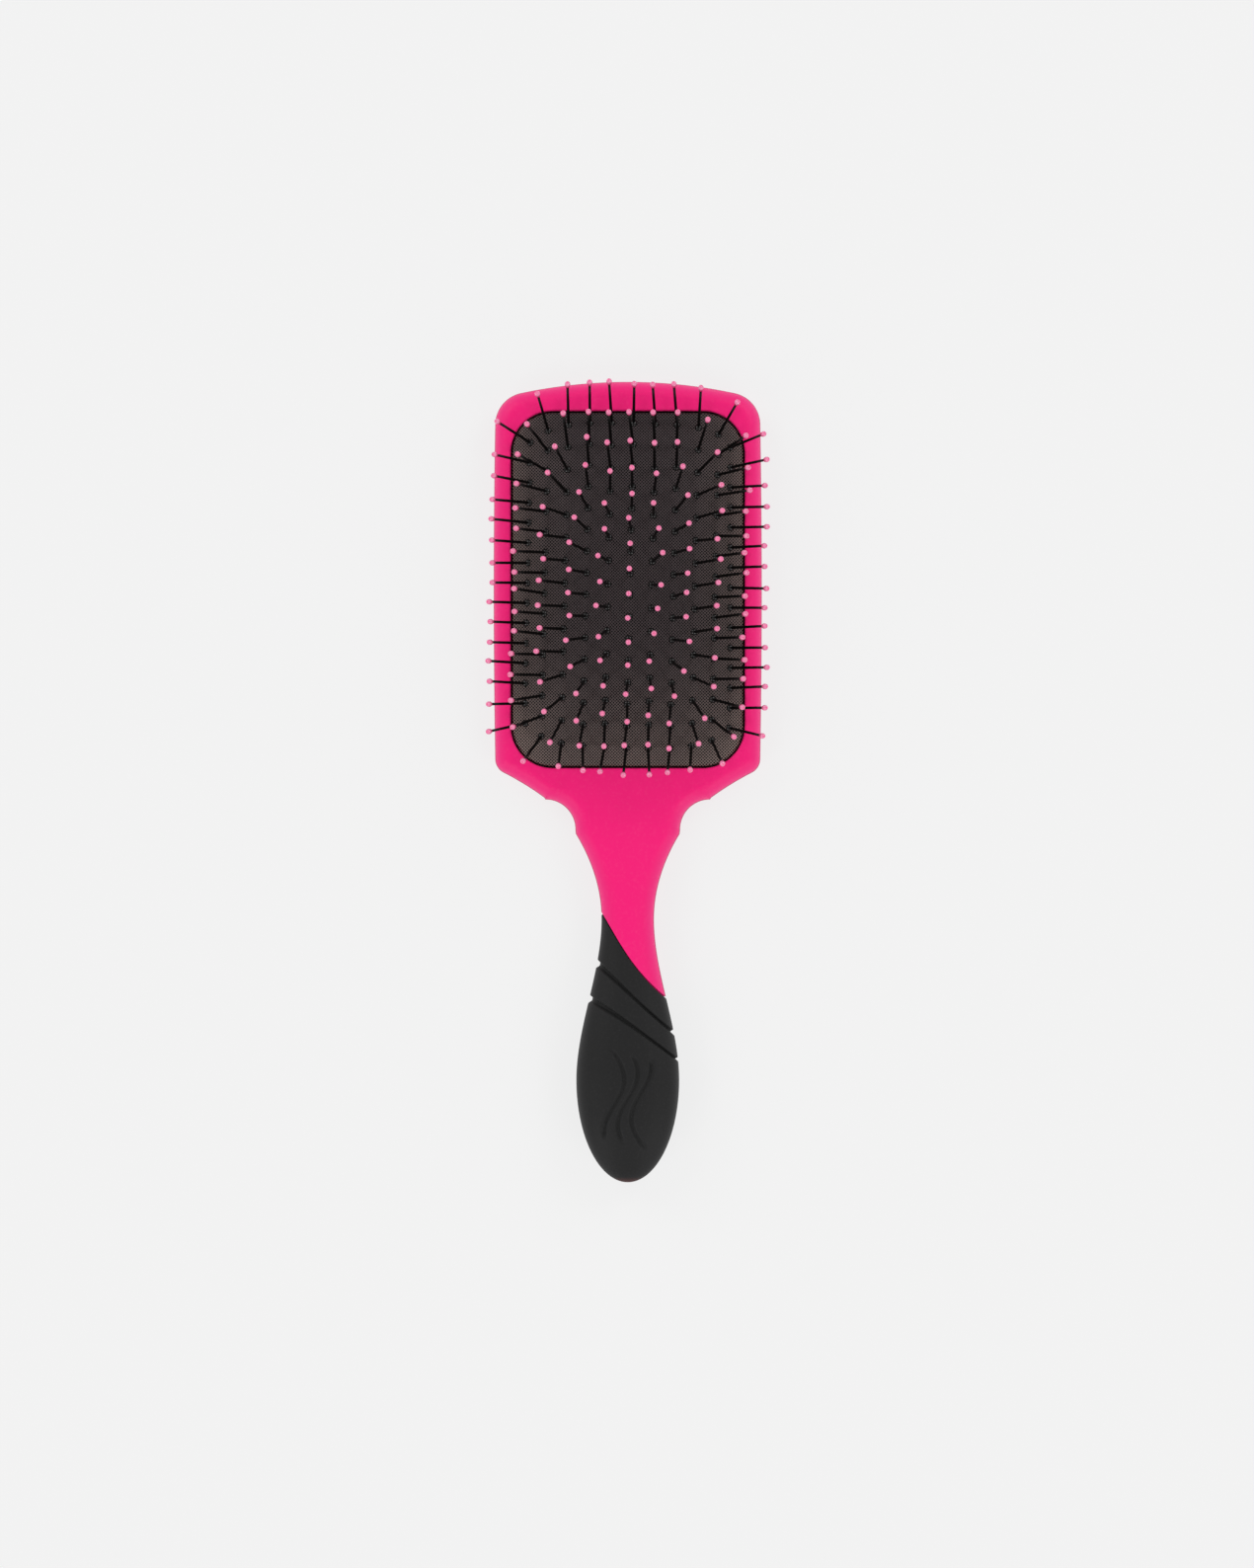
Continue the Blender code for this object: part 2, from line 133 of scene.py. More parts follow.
def arc(centre: Sequence[float], radius: float, start: float, end: float, steps: int) -> np.ndarray:
    """Points on a circle.

    Args:
        centre: Centre of the circle in plan.
        radius: Radius of the circle.
        start: First angle, in degrees.
        end: Last angle, in degrees.
        steps: Number of chords.

    Returns:
        An array of steps + 1 plan points.
    """
    angles = np.radians(np.linspace(start, end, steps + 1))
    return np.column_stack((centre[0] + radius * np.cos(angles), centre[1] + radius * np.sin(angles)))


def skin(name: str, loops: Sequence[np.ndarray], poles: Sequence[Sequence[float]]) -> bpy.types.Mesh:
    """Join equal loops in order and close each end with a point.

    Args:
        name: Name of the mesh.
        loops: Loops of points, all of one length.
        poles: The point that closes the first loop and the point that closes the last.

    Returns:
        A closed mesh with its faces pointing outwards.
    """
    rows, size = len(loops), len(loops[0])
    points = np.vstack((*loops, *[np.array([pole], float) for pole in poles]))
    grid = np.arange(rows * size).reshape(rows, size)
    ahead = np.roll(grid, -1, axis=1)
    quads = np.stack((grid[:-1], ahead[:-1], ahead[1:], grid[1:]), axis=-1).reshape(-1, 4)
    faces = quads.tolist()
    for row, next_row, pole in ((grid[0], ahead[0], rows * size), (grid[-1], ahead[-1], rows * size + 1)):
        faces += [(int(a), int(b), pole) for a, b in zip(row, next_row)]
    mesh = bpy.data.meshes.new(name)
    mesh.from_pydata(points.tolist(), [], faces)
    bm = bmesh.new()
    bm.from_mesh(mesh)
    bmesh.ops.recalc_face_normals(bm, faces=bm.faces)
    bm.to_mesh(mesh)
    bm.free()
    return mesh


def add_piece(mesh: bpy.types.Mesh, material: bpy.types.Material, sharp: float = 35.0) -> bpy.types.Object:
    """Link a finished mesh as a piece that sits untransformed at the origin.

    Args:
        mesh: Mesh with its place in its points.
        material: Material of the whole piece.
        sharp: Edge angle in degrees above which shading breaks.

    Returns:
        The new object, named after its mesh.
    """
    mesh.materials.clear()
    mesh.materials.append(material)
    mesh.shade_smooth()
    mesh.set_sharp_from_angle(angle=math.radians(sharp))
    piece = bpy.data.objects.new(mesh.name, mesh)
    bpy.context.scene.collection.objects.link(piece)
    return piece


def store_values(mesh: bpy.types.Mesh, name: str, values: np.ndarray) -> None:
    """Store one number for each vertex under a name that a material can read."""
    attribute = mesh.attributes.new(name, "FLOAT", "POINT")
    attribute.data.foreach_set("value", values.astype(np.float32))


def vertex_points(mesh: bpy.types.Mesh) -> np.ndarray:
    """Every vertex of a mesh as rows of x, y and z."""
    points = np.empty(len(mesh.vertices) * 3, np.float32)
    mesh.vertices.foreach_get("co", points)
    return points.reshape(-1, 3).astype(float)


def evaluated_mesh(obj: bpy.types.Object, name: str) -> bpy.types.Mesh:
    """Plain mesh of an object as its modifiers leave it."""
    bpy.context.view_layer.update()
    evaluated = obj.evaluated_get(bpy.context.evaluated_depsgraph_get())
    mesh = bpy.data.meshes.new_from_object(evaluated)
    mesh.name = name
    return mesh


@dataclass(frozen=True)
class BrushPlan:
    """Plan and side view of the paddle: where its surface is at each station along the brush."""

    crown_y: float = CAD_BOX[1].y
    crown_radius: float = 0.172
    head_half_width: float = 0.0443
    head_middle_y: float = 0.064
    side_bow: float = 0.0005
    top_corner: float = 0.0108
    low_corner: float = 0.0052
    low_corner_y: float = 0.0076
    low_corner_sweep: float = 60.0
    shoulder_bend: tuple[float, float] = (0.0343, -0.0007)
    shoulder_end: tuple[float, float] = (0.0278, -0.00545)
    scoop_centre: tuple[float, float] = (0.0275, -0.0160)
    scoop_radius: float = 0.010
    collar: tuple[float, float] = (0.01735, -0.0175)
    neck_half_width: float = 0.00875
    neck_y: float = -0.046
    grip_half_width: float = 0.01715
    grip_y: float = -0.0995
    back_heights: tuple[float, ...] = (0.0, 0.0020, 0.0)
    middle_heights: tuple[float, ...] = (0.0100, 0.0082, 0.0060)
    front_heights: tuple[float, ...] = (0.0200, 0.0148, 0.0120)
    head_station: float = -0.004
    front_edge: float = 0.0050
    back_edge: float = 0.0090
    section_power: float = 2.3
    slab_blend: tuple[float, float] = (-0.044, -0.014)
    outline_steps: int = 48
    outline: np.ndarray = field(init=False, repr=False)

    def __post_init__(self) -> None:
        """Lay out the fine outline once."""
        outline = np.vstack((self.head_outline(self.outline_steps), self.handle_outline(self.outline_steps)))
        object.__setattr__(self, "outline", outline)

    def head_outline(self, steps: int) -> np.ndarray:
        """Right half of the head, from the crown round to the collar above the neck."""
        crown_centre = (0.0, self.crown_y - self.crown_radius)
        corner_x = self.head_half_width - self.top_corner
        rise = math.sqrt((self.crown_radius - self.top_corner) ** 2 - corner_x**2)
        corner_y = crown_centre[1] + rise
        tangent = math.degrees(math.atan2(rise, corner_x))
        crown = arc(crown_centre, self.crown_radius, 90.0, tangent, steps)[:-1]
        top = arc((corner_x, corner_y), self.top_corner, tangent, 0.0, steps)
        side_y = np.linspace(corner_y, self.low_corner_y, steps + 1)[1:-1]
        reach = (corner_y - self.low_corner_y) / 2
        bow = self.side_bow * (1.0 - ((side_y - self.head_middle_y) / reach) ** 2)
        side = np.column_stack((self.head_half_width + bow, side_y))
        low_x = self.head_half_width - self.low_corner
        low = arc((low_x, self.low_corner_y), self.low_corner, 0.0, -self.low_corner_sweep, steps // 2)
        t = np.linspace(0.0, 1.0, steps // 2 + 1)[1:, None]
        bend, end = np.array(self.shoulder_bend), np.array(self.shoulder_end)
        shoulder = (1 - t) ** 2 * low[-1] + 2 * t * (1 - t) * bend + t**2 * end
        scoop = arc(self.scoop_centre, self.scoop_radius, 90.0, 180.0, steps)
        return np.vstack((crown, top, side, low, shoulder, scoop, [self.collar]))

    def handle_outline(self, steps: int) -> np.ndarray:
        """Right half of the neck, the grip and the butt, from below the collar to the end."""
        neck_y = np.linspace(self.collar[1], self.neck_y, steps + 1)[1:]
        flare = ((neck_y - self.neck_y) / (self.collar[1] - self.neck_y)) ** 2
        neck_x = self.neck_half_width + (self.collar[0] - self.neck_half_width) * flare
        grip_y = np.linspace(self.neck_y, self.grip_y, steps + 1)[1:]
        swell = smooth((grip_y - self.neck_y) / (self.grip_y - self.neck_y))
        grip_x = self.neck_half_width + (self.grip_half_width - self.neck_half_width) * swell
        turn = np.linspace(0.0, math.pi / 2, steps + 1)[1:]
        butt_y = self.grip_y - (self.crown_y + self.grip_y) * np.sin(turn)
        butt_x = self.grip_half_width * np.cos(turn)
        parts = ((neck_x, neck_y), (grip_x, grip_y), (butt_x, butt_y))
        return np.vstack([np.column_stack(part) for part in parts])

    def half_width(self, y: np.ndarray) -> np.ndarray:
        """Half width of the plan at each station."""
        return np.interp(y, self.outline[::-1, 1], self.outline[::-1, 0])

    def edge_distance(self, x: np.ndarray, y: np.ndarray, chunk: int = 4096) -> np.ndarray:
        """Distance in plan from each point to the outline.

        Args:
            x: Distances from the middle line; either side gives the same answer.
            y: Stations along the brush.
            chunk: Number of points measured at a time.

        Returns:
            One distance for each point.
        """
        start, run = self.outline[:-1], np.diff(self.outline, axis=0)
        length_sq = np.maximum((run**2).sum(axis=1), 1e-18)
        points = np.column_stack((np.abs(x), y))
        found = []
        for first in range(0, len(points), chunk):
            to_point = points[first : first + chunk, None, :] - start
            t = np.clip((to_point * run).sum(axis=-1) / length_sq, 0.0, 1.0)
            found.append(np.linalg.norm(to_point - t[..., None] * run, axis=-1).min(axis=-1))
        return np.concatenate(found)

    def loop(self, line: Line, inset: float = 0.0, front: int = 61, back: int = 61) -> np.ndarray:
        """One closed loop round the brush along a slanted line.

        Args:
            line: Middle, slope and bend of the line: y = middle + slope * s + bend * s * s,
                where s runs from -1 on the left edge to +1 on the right.
            inset: How far the loop lies inside the surface.
            front: Points across the front.
            back: Points across the back.

        Returns:
            Points across the front from left to right and back across the back.
        """
        top, _ = self._crossing(line, inset, front)
        _, bottom = self._crossing(line, inset, back)
        return np.vstack((top, bottom[-2:0:-1]))

    def _crossing(self, line: Line, inset: float, count: int) -> tuple[np.ndarray, np.ndarray]:
        """Points on the front and on the back along a slanted line.

        Args:
            line: Middle, slope and bend of the line.
            inset: How far the points lie inside the surface.
            count: Number of points from edge to edge.

        Returns:
            The points on the front and the points on the back, each from left to right.
        """
        s = np.sin(np.linspace(-math.pi / 2, math.pi / 2, count))
        y = line[0] + line[1] * s + line[2] * s * s
        width = self.half_width(y)
        distance = self.edge_distance(s * width, y)
        oval = np.maximum(1.0 - np.abs(s) ** self.section_power, 0.0) ** (1.0 / self.section_power)
        slab = smooth((y - self.slab_blend[0]) / (self.slab_blend[1] - self.slab_blend[0]))
        past_grip = np.clip((self.grip_y - y) / (self.crown_y + self.grip_y), 0.0, 1.0)
        butt = np.sqrt(1.0 - past_grip**2)
        stations = (self.grip_y, self.neck_y, self.head_station)
        middle = ease(y, stations, self.middle_heights)
        rise = (ease(y, stations, self.front_heights) - middle) * butt - inset
        drop = (middle - ease(y, stations, self.back_heights)) * butt - inset
        front = slab * self._round(distance, self.front_edge) + (1 - slab) * oval
        back = slab * self._round(distance, self.back_edge) + (1 - slab) * oval
        x = s * (width - inset)
        top = np.column_stack((x, y, middle + rise * front))
        bottom = np.column_stack((x, y, middle - drop * back))
        return top, bottom

    @staticmethod
    def _round(distance: np.ndarray, radius: float) -> np.ndarray:
        """Share of the full height at a distance inside a quarter-round edge."""
        t = np.clip(distance / radius, 0.0, 1.0)
        return np.sqrt(1.0 - (1.0 - t) ** 2)


@dataclass(frozen=True)
class PadWindow:
    """Rounded window in the head, and the well below it that holds the pad."""

    half_x: float = 0.0390
    half_y: float = 0.0595
    middle_y: float = 0.0640
    corner: float = 0.0140
    floor: float = 0.0026
    groove_low: float = 0.0046
    groove_high: float = 0.0072
    groove_depth: float = 0.0022
    lip_radius: float = 0.0006
    corner_steps: int = 20
    side_steps: int = 24

    def loop(self, offset: float, z: float, scale: float = 1.0) -> np.ndarray:
        """Loop of the window's outline.

        Args:
            offset: How far outside the outline the loop lies.
            z: Height of the loop.
            scale: Share of the way from the window's middle to the loop.

        Returns:
            The loop's points, anticlockwise seen from above.
        """
        radius = self.corner + offset
        quarters = []
        for quarter, (side_x, side_y) in enumerate(((1, 1), (-1, 1), (-1, -1), (1, -1))):
            centre = (side_x * (self.half_x - self.corner), side_y * (self.half_y - self.corner))
            quarters.append(arc(centre, radius, 90.0 * quarter, 90.0 * (quarter + 1), self.corner_steps))
        points = []
        for quarter, following in zip(quarters, quarters[1:] + quarters[:1]):
            share = np.linspace(0.0, 1.0, self.side_steps + 1)[1:-1, None]
            points += [quarter, quarter[-1] * (1 - share) + following[0] * share]
        plan = np.vstack(points) * scale
        return np.column_stack((plan[:, 0], plan[:, 1] + self.middle_y, np.full(len(plan), z)))


@dataclass(frozen=True)
class PadDome:
    """Crowned front surface of the rubber pad."""

    window: PadWindow
    rim_z: float = 0.0110
    rise: float = 0.0100
    end_power: float = 2.6

    def height(self, x: np.ndarray, y: np.ndarray) -> np.ndarray:
        """Height of the pad's front at plan points."""
        across = 1.0 - (x / self.window.half_x) ** 2
        along = 1.0 - np.abs((y - self.window.middle_y) / self.window.half_y) ** self.end_power
        return self.rim_z + self.rise * across * along

    def normal(self, x: float, y: float, step: float = 1e-5) -> np.ndarray:
        """Unit vector square to the pad at a plan point, from slopes taken a step apart."""
        slope_x = (self.height(x + step, y) - self.height(x - step, y)) / (2 * step)
        slope_y = (self.height(x, y + step) - self.height(x, y - step)) / (2 * step)
        square = np.array((-slope_x, -slope_y, 1.0))
        return square / np.linalg.norm(square)


@dataclass(frozen=True)
class PinSplay:
    """Lean of the pins: none at the pad's middle, and outwards towards its edge.

    Lines of equal splay are ovals near the middle and squarer towards the edge, and each pin leans
    square to its own line. The sines of the lean at the pad's sides and ends are given with how
    they grow from the middle.
    """

    window: PadWindow
    side: float = 0.71
    side_growth: float = 0.93
    end: float = 0.65
    end_growth: float = 1.52
    crown_share: float = 0.15
    powers: tuple[float, float] = (2.0, 9.0)
    power_growth: float = 8.5
    reach: float = 0.96

    def direction(self, x: float, y: float) -> np.ndarray:
        """Unit direction of the pin at a plan point."""
        halves = np.array((self.window.half_x, self.window.half_y))
        place = np.array((x, y - self.window.middle_y)) / halves
        u, v = np.abs(place)
        power = min(self.powers[0] + self.power_growth * max(u, v) ** 2, self.powers[1])
        outward = np.array((u, v)) ** (power - 1.0) / halves
        outward /= max(float(np.linalg.norm(outward)), 1e-9)
        reach = min((u**power + v**power) ** (1.0 / power), self.reach)
        side_part = outward[0] ** 2 * self.side * reach**self.side_growth
        end_part = outward[1] ** 2 * self.end * (1.0 + self.crown_share * place[1]) * reach**self.end_growth
        lean = outward * (side_part + end_part) * np.sign(place)
        return np.array((lean[0], lean[1], math.sqrt(1.0 - float(lean @ lean))))


# ---------------------------------------------------------------- node helpers


class Graph:
    """Adds nodes to a tree and wires them in the same call."""

    def __init__(self, tree: bpy.types.NodeTree) -> None:
        """Work on one node tree."""
        self.tree = tree
        self.column = 0

    def add(self, kind: str, inputs: dict | None = None, **settings: object) -> bpy.types.Node:
        """Add one node.

        Args:
            kind: Blender's name of the node type.
            inputs: Values or output sockets, keyed by the input's name or number.
            settings: Properties of the node itself.

        Returns:
            The new node.
        """
        node = self.tree.nodes.new(kind)
        node.location = (self.column * 180.0, -(self.column % 3) * 160.0)
        self.column += 1
        for name, value in settings.items():
            setattr(node, name, value)
        for key, value in (inputs or {}).items():
            target = node.inputs[key]
            if isinstance(value, bpy.types.NodeSocket):
                self.tree.links.new(value, target)
            else:
                target.default_value = value
        return node

    def math(self, operation: str, *values: object) -> Socket:
        """Output of a Math node on one, two or three values or sockets."""
        return self.add("ShaderNodeMath", dict(enumerate(values)), operation=operation).outputs[0]

    def stored(self, name: str) -> Socket:
        """Number stored on the mesh under a name."""
        return self.add("ShaderNodeAttribute", attribute_name=name).outputs["Fac"]

    def place(self) -> bpy.types.bpy_prop_collection:
        """X, Y and Z of the object's own space."""
        own_space = self.add("ShaderNodeTexCoord").outputs["Object"]
        return self.add("ShaderNodeSeparateXYZ", {0: own_space}).outputs

    def ramp(
        self,
        value: Socket,
        ends: tuple[float, float] = (0.0, 1.0),
        into: tuple[float, float] = (0.0, 1.0),
        **settings: object,
    ) -> Socket:
        """Value carried from one range into another.

        Args:
            value: Value to carry over.
            ends: Ends of its own range.
            into: What the ends become.
            settings: Properties of the node itself.

        Returns:
            The new value, held within its range.
        """
        inputs = dict(enumerate((value, *ends, *into)))
        return self.add("ShaderNodeMapRange", inputs, **settings).outputs[0]

    def mix(self, factor: object, first: object, second: object) -> Socket:
        """Colour mixed from the first to the second by a factor."""
        node = self.add("ShaderNodeMix", data_type="RGBA")
        for index, value in ((0, factor), (6, first), (7, second)):
            target = node.inputs[index]
            if isinstance(value, bpy.types.NodeSocket):
                self.tree.links.new(value, target)
            else:
                target.default_value = value
        return node.outputs[2]


def new_group(name: str, kind: str, sockets: Sequence[tuple[str, str, str]]) -> bpy.types.NodeTree:
    """Make an empty node group with named sockets.

    Args:
        name: Name of the group.
        kind: Blender's name of the tree type.
        sockets: For each socket its name, "INPUT" or "OUTPUT", and its socket type.

    Returns:
        The group.
    """
    group = bpy.data.node_groups.new(name, kind)
    for label, side, socket_type in sockets:
        group.interface.new_socket(label, in_out=side, socket_type=socket_type)
    return group


def rgba(colour: Sequence[float]) -> tuple[float, float, float, float]:
    """Colour with full alpha."""
    return (*colour, 1.0)


FLOAT, GEOMETRY = "NodeSocketFloat", "NodeSocketGeometry"
INTEGER, MATERIAL = "NodeSocketInt", "NodeSocketMaterial"
# Start of the band of painted shade at the outline, on the rim value.
OUTLINE_SHADE_RIM = 0.975
SPECK_BAND = (0.52, 0.78)


def build_grain_group() -> bpy.types.NodeTree:
    """Group for moulded or painted grain: fine and coarse noise in object space."""
    group = new_group(
        "fine_grain",
        "ShaderNodeTree",
        (
            ("Fine Scale", "INPUT", FLOAT),
            ("Coarse Scale", "INPUT", FLOAT),
            ("Coarse Share", "INPUT", FLOAT),
            ("Grain", "OUTPUT", FLOAT),
            ("Cloud", "OUTPUT", FLOAT),
        ),
    )
    graph = Graph(group)
    given = graph.add("NodeGroupInput")
    place = graph.add("ShaderNodeTexCoord").outputs["Object"]
    fine = graph.add(
        "ShaderNodeTexNoise",
        {"Vector": place, "Scale": given.outputs["Fine Scale"], "Detail": 2.0, "Roughness": 0.6},
    )
    coarse = graph.add(
        "ShaderNodeTexNoise",
        {"Vector": place, "Scale": given.outputs["Coarse Scale"], "Detail": 3.0, "Roughness": 0.55},
    )
    share = graph.math("MULTIPLY", coarse.outputs[0], given.outputs["Coarse Share"])
    total = graph.math("ADD", fine.outputs[0], share)
    graph.add("NodeGroupOutput", {"Grain": total, "Cloud": coarse.outputs[0]})
    return group


def build_dust_group() -> bpy.types.NodeTree:
    """Group for the faint dust that settles on faces that look up, as a mask."""
    group = new_group(
        "settled_dust",
        "ShaderNodeTree",
        (("Amount", "INPUT", FLOAT), ("Speck Scale", "INPUT", FLOAT), ("Mask", "OUTPUT", FLOAT)),
    )
    graph = Graph(group)
    given = graph.add("NodeGroupInput")
    place = graph.add("ShaderNodeTexCoord").outputs["Object"]
    facing = graph.add("ShaderNodeSeparateXYZ", {0: graph.add("ShaderNodeNewGeometry").outputs["Normal"]})
    upward = graph.math("MAXIMUM", facing.outputs["Z"], 0.0)
    noise = {"Vector": place, "Scale": given.outputs["Speck Scale"], "Detail": 4.0}
    sparse = graph.ramp(graph.add("ShaderNodeTexNoise", noise).outputs[0], SPECK_BAND)
    mask = graph.math("MULTIPLY", graph.math("MULTIPLY", sparse, upward), given.outputs["Amount"])
    graph.add("NodeGroupOutput", {"Mask": mask})
    return group


# ---------------------------------------------------------------- finishes


@dataclass(frozen=True)
class Finish:
    """Common base of the finishes: a Principled shader and the shared groups."""

    grain: bpy.types.NodeTree
    dust: bpy.types.NodeTree

    def _start(
        self, name: str, constants: dict[str, object]
    ) -> tuple[bpy.types.Material, Graph, bpy.types.Node]:
        """Make a node material with its shader's plain values set.

        Args:
            name: Name of the material.
            constants: Values of shader sockets that are the same all over.

        Returns:
            The material, a graph on its tree, and its Principled shader.
        """
        material = bpy.data.materials.new(name)
        material.use_nodes = True
        shader = material.node_tree.nodes["Principled BSDF"]
        for socket, value in constants.items():
            shader.inputs[socket].default_value = value
        return material, Graph(material.node_tree), shader

    def _grain(self, graph: Graph, fine: float, coarse: float, share: float) -> bpy.types.Node:
        """Place the grain group with its scales."""
        values = {"Fine Scale": fine, "Coarse Scale": coarse, "Coarse Share": share}
        node = graph.add("ShaderNodeGroup", node_tree=self.grain)
        for socket, value in values.items():
            node.inputs[socket].default_value = value
        return node

    def _dusted(self, graph: Graph, clean: Socket, amount: float, scale: float, shade: Shade) -> Socket:
        """Colour with a faint settled dust.

        Args:
            graph: Graph of the material.
            clean: Colour without dust.
            amount: Strength of the dust.
            scale: Scale of its specks.
            shade: Colour of the dust.

        Returns:
            The dusty colour.
        """
        node = graph.add("ShaderNodeGroup", node_tree=self.dust)
        node.inputs["Amount"].default_value = amount
        node.inputs["Speck Scale"].default_value = scale
        return graph.mix(node.outputs["Mask"], clean, rgba(shade))

    @staticmethod
    def _outline_shade_mask(graph: Graph, rim: Socket, amount: float) -> Socket:
        """Mask of the thin band at the widest part of a moulding, darkened as painted shade where the surface
        turns away at the outline.
        """
        return graph.ramp(rim, (OUTLINE_SHADE_RIM, 1.0), (0.0, amount))

    @staticmethod
    def _dress(graph: Graph, shader: bpy.types.Node, colour: Socket, rough: Socket, relief: Relief) -> None:
        """Wire the colour, the roughness and the bump into the shader.

        Args:
            graph: Graph of the material.
            shader: Principled shader of the material.
            colour: Base colour.
            rough: Roughness.
            relief: Height field, its depth and its strength.
        """
        height, depth, strength = relief
        bump = graph.add("ShaderNodeBump", {"Height": height, "Distance": depth, "Strength": strength})
        for socket, value in (("Base Color", colour), ("Roughness", rough), ("Normal", bump.outputs[0])):
            graph.tree.links.new(value, shader.inputs[socket])


@dataclass(frozen=True)
class SoftTouchPaint(Finish):
    """Hot pink soft-touch paint: even, velvety, with painted light making it a little lighter where it turns
    over an edge, and painted shade in a thin band at the outline.
    """

    colour: Shade = (0.905, 0.0085, 0.182)
    lit_edge_colour: Shade = (0.930, 0.046, 0.262)
    outline_shade: Shade = (0.42, 0.004, 0.085)
    dust_shade: Shade = (0.95, 0.62, 0.72)
    roughness: tuple[float, float] = (0.44, 0.54)
    lit_edge_share: float = 0.60
    cloud_share: float = 0.08

    def material(self) -> bpy.types.Material:
        """Build the paint."""
        constants = {"Specular IOR Level": 0.20, "Sheen Weight": 0.04, "Sheen Roughness": 0.5}
        material, graph, shader = self._start("soft_touch_pink", constants)
        rim = graph.stored("rim")
        grain = self._grain(graph, 5200.0, 55.0, 0.6)
        clouds = graph.math("MULTIPLY_ADD", grain.outputs["Cloud"], self.cloud_share, -self.cloud_share / 2)
        # Painted light: the paint is mixed lighter within a few millimetres of the outline, standing in for
        # light caught where the surface turns over the edge.
        edge = graph.math("ADD", graph.math("MULTIPLY", rim, self.lit_edge_share), clouds)
        paint = graph.mix(graph.math("MAXIMUM", edge, 0.0), rgba(self.colour), rgba(self.lit_edge_colour))
        # Painted shade: a thin band at the outline is darkened, where the surface turns away.
        outline_shaded = graph.mix(self._outline_shade_mask(graph, rim, 0.8), paint, rgba(self.outline_shade))
        dusty = self._dusted(graph, outline_shaded, 0.02, 900.0, self.dust_shade)
        rough = graph.ramp(grain.outputs["Cloud"], into=self.roughness)
        self._dress(graph, shader, dusty, rough, (grain.outputs["Grain"], 0.00002, 0.35))
        return material


@dataclass(frozen=True)
class GripRubber(Finish):
    """Matte black moulded rubber with a fine spark-eroded grain and lighter rubbed edges, with painted shade
    in its grooves, in its engraving and in a thin band at its outline.
    """

    colour: Shade = (0.0060, 0.0060, 0.0062)
    rubbed: Shade = (0.0105, 0.0105, 0.0110)
    shaded_hollow: Shade = (0.0004, 0.0004, 0.0004)
    butt_tint: Shade = (0.085, 0.016, 0.014)
    dust_shade: Shade = (0.16, 0.15, 0.15)
    butt_band: tuple[float, float] = (-0.1316, -0.1336)
    butt_share: float = 0.7

    def material(self) -> bpy.types.Material:
        """Build the rubber."""
        constants = {"Specular IOR Level": 0.26, "Sheen Weight": 0.05, "Sheen Roughness": 0.6}
        material, graph, shader = self._start("grip_rubber", constants)
        rim = graph.stored("rim")
        grain = self._grain(graph, 4200.0, 90.0, 0.5)
        wear = graph.math("MULTIPLY", rim, graph.math("MULTIPLY_ADD", grain.outputs["Cloud"], 0.9, 0.1))
        worn = graph.mix(wear, rgba(self.colour), rgba(self.rubbed))
        # Painted shade: the stored mask darkens the grooves and the engraving to near black, standing in for
        # the shade that falls in them.
        groove_shaded = graph.mix(graph.stored("shaded_hollow"), worn, rgba(self.shaded_hollow))
        # Painted shade: a thin band at the outline is darkened with the same near-black colour, where the
        # surface turns away.
        rubber = graph.mix(self._outline_shade_mask(graph, rim, 0.9), groove_shaded, rgba(self.shaded_hollow))
        tip = graph.ramp(graph.place()["Y"], self.butt_band, (0.0, self.butt_share))
        tinted = graph.mix(tip, rubber, rgba(self.butt_tint))
        dusty = self._dusted(graph, tinted, 0.04, 1300.0, self.dust_shade)
        rough = graph.ramp(grain.outputs["Cloud"], into=(0.56, 0.68))
        self._dress(graph, shader, dusty, rough, (grain.outputs["Grain"], 0.00004, 0.5))
        return material


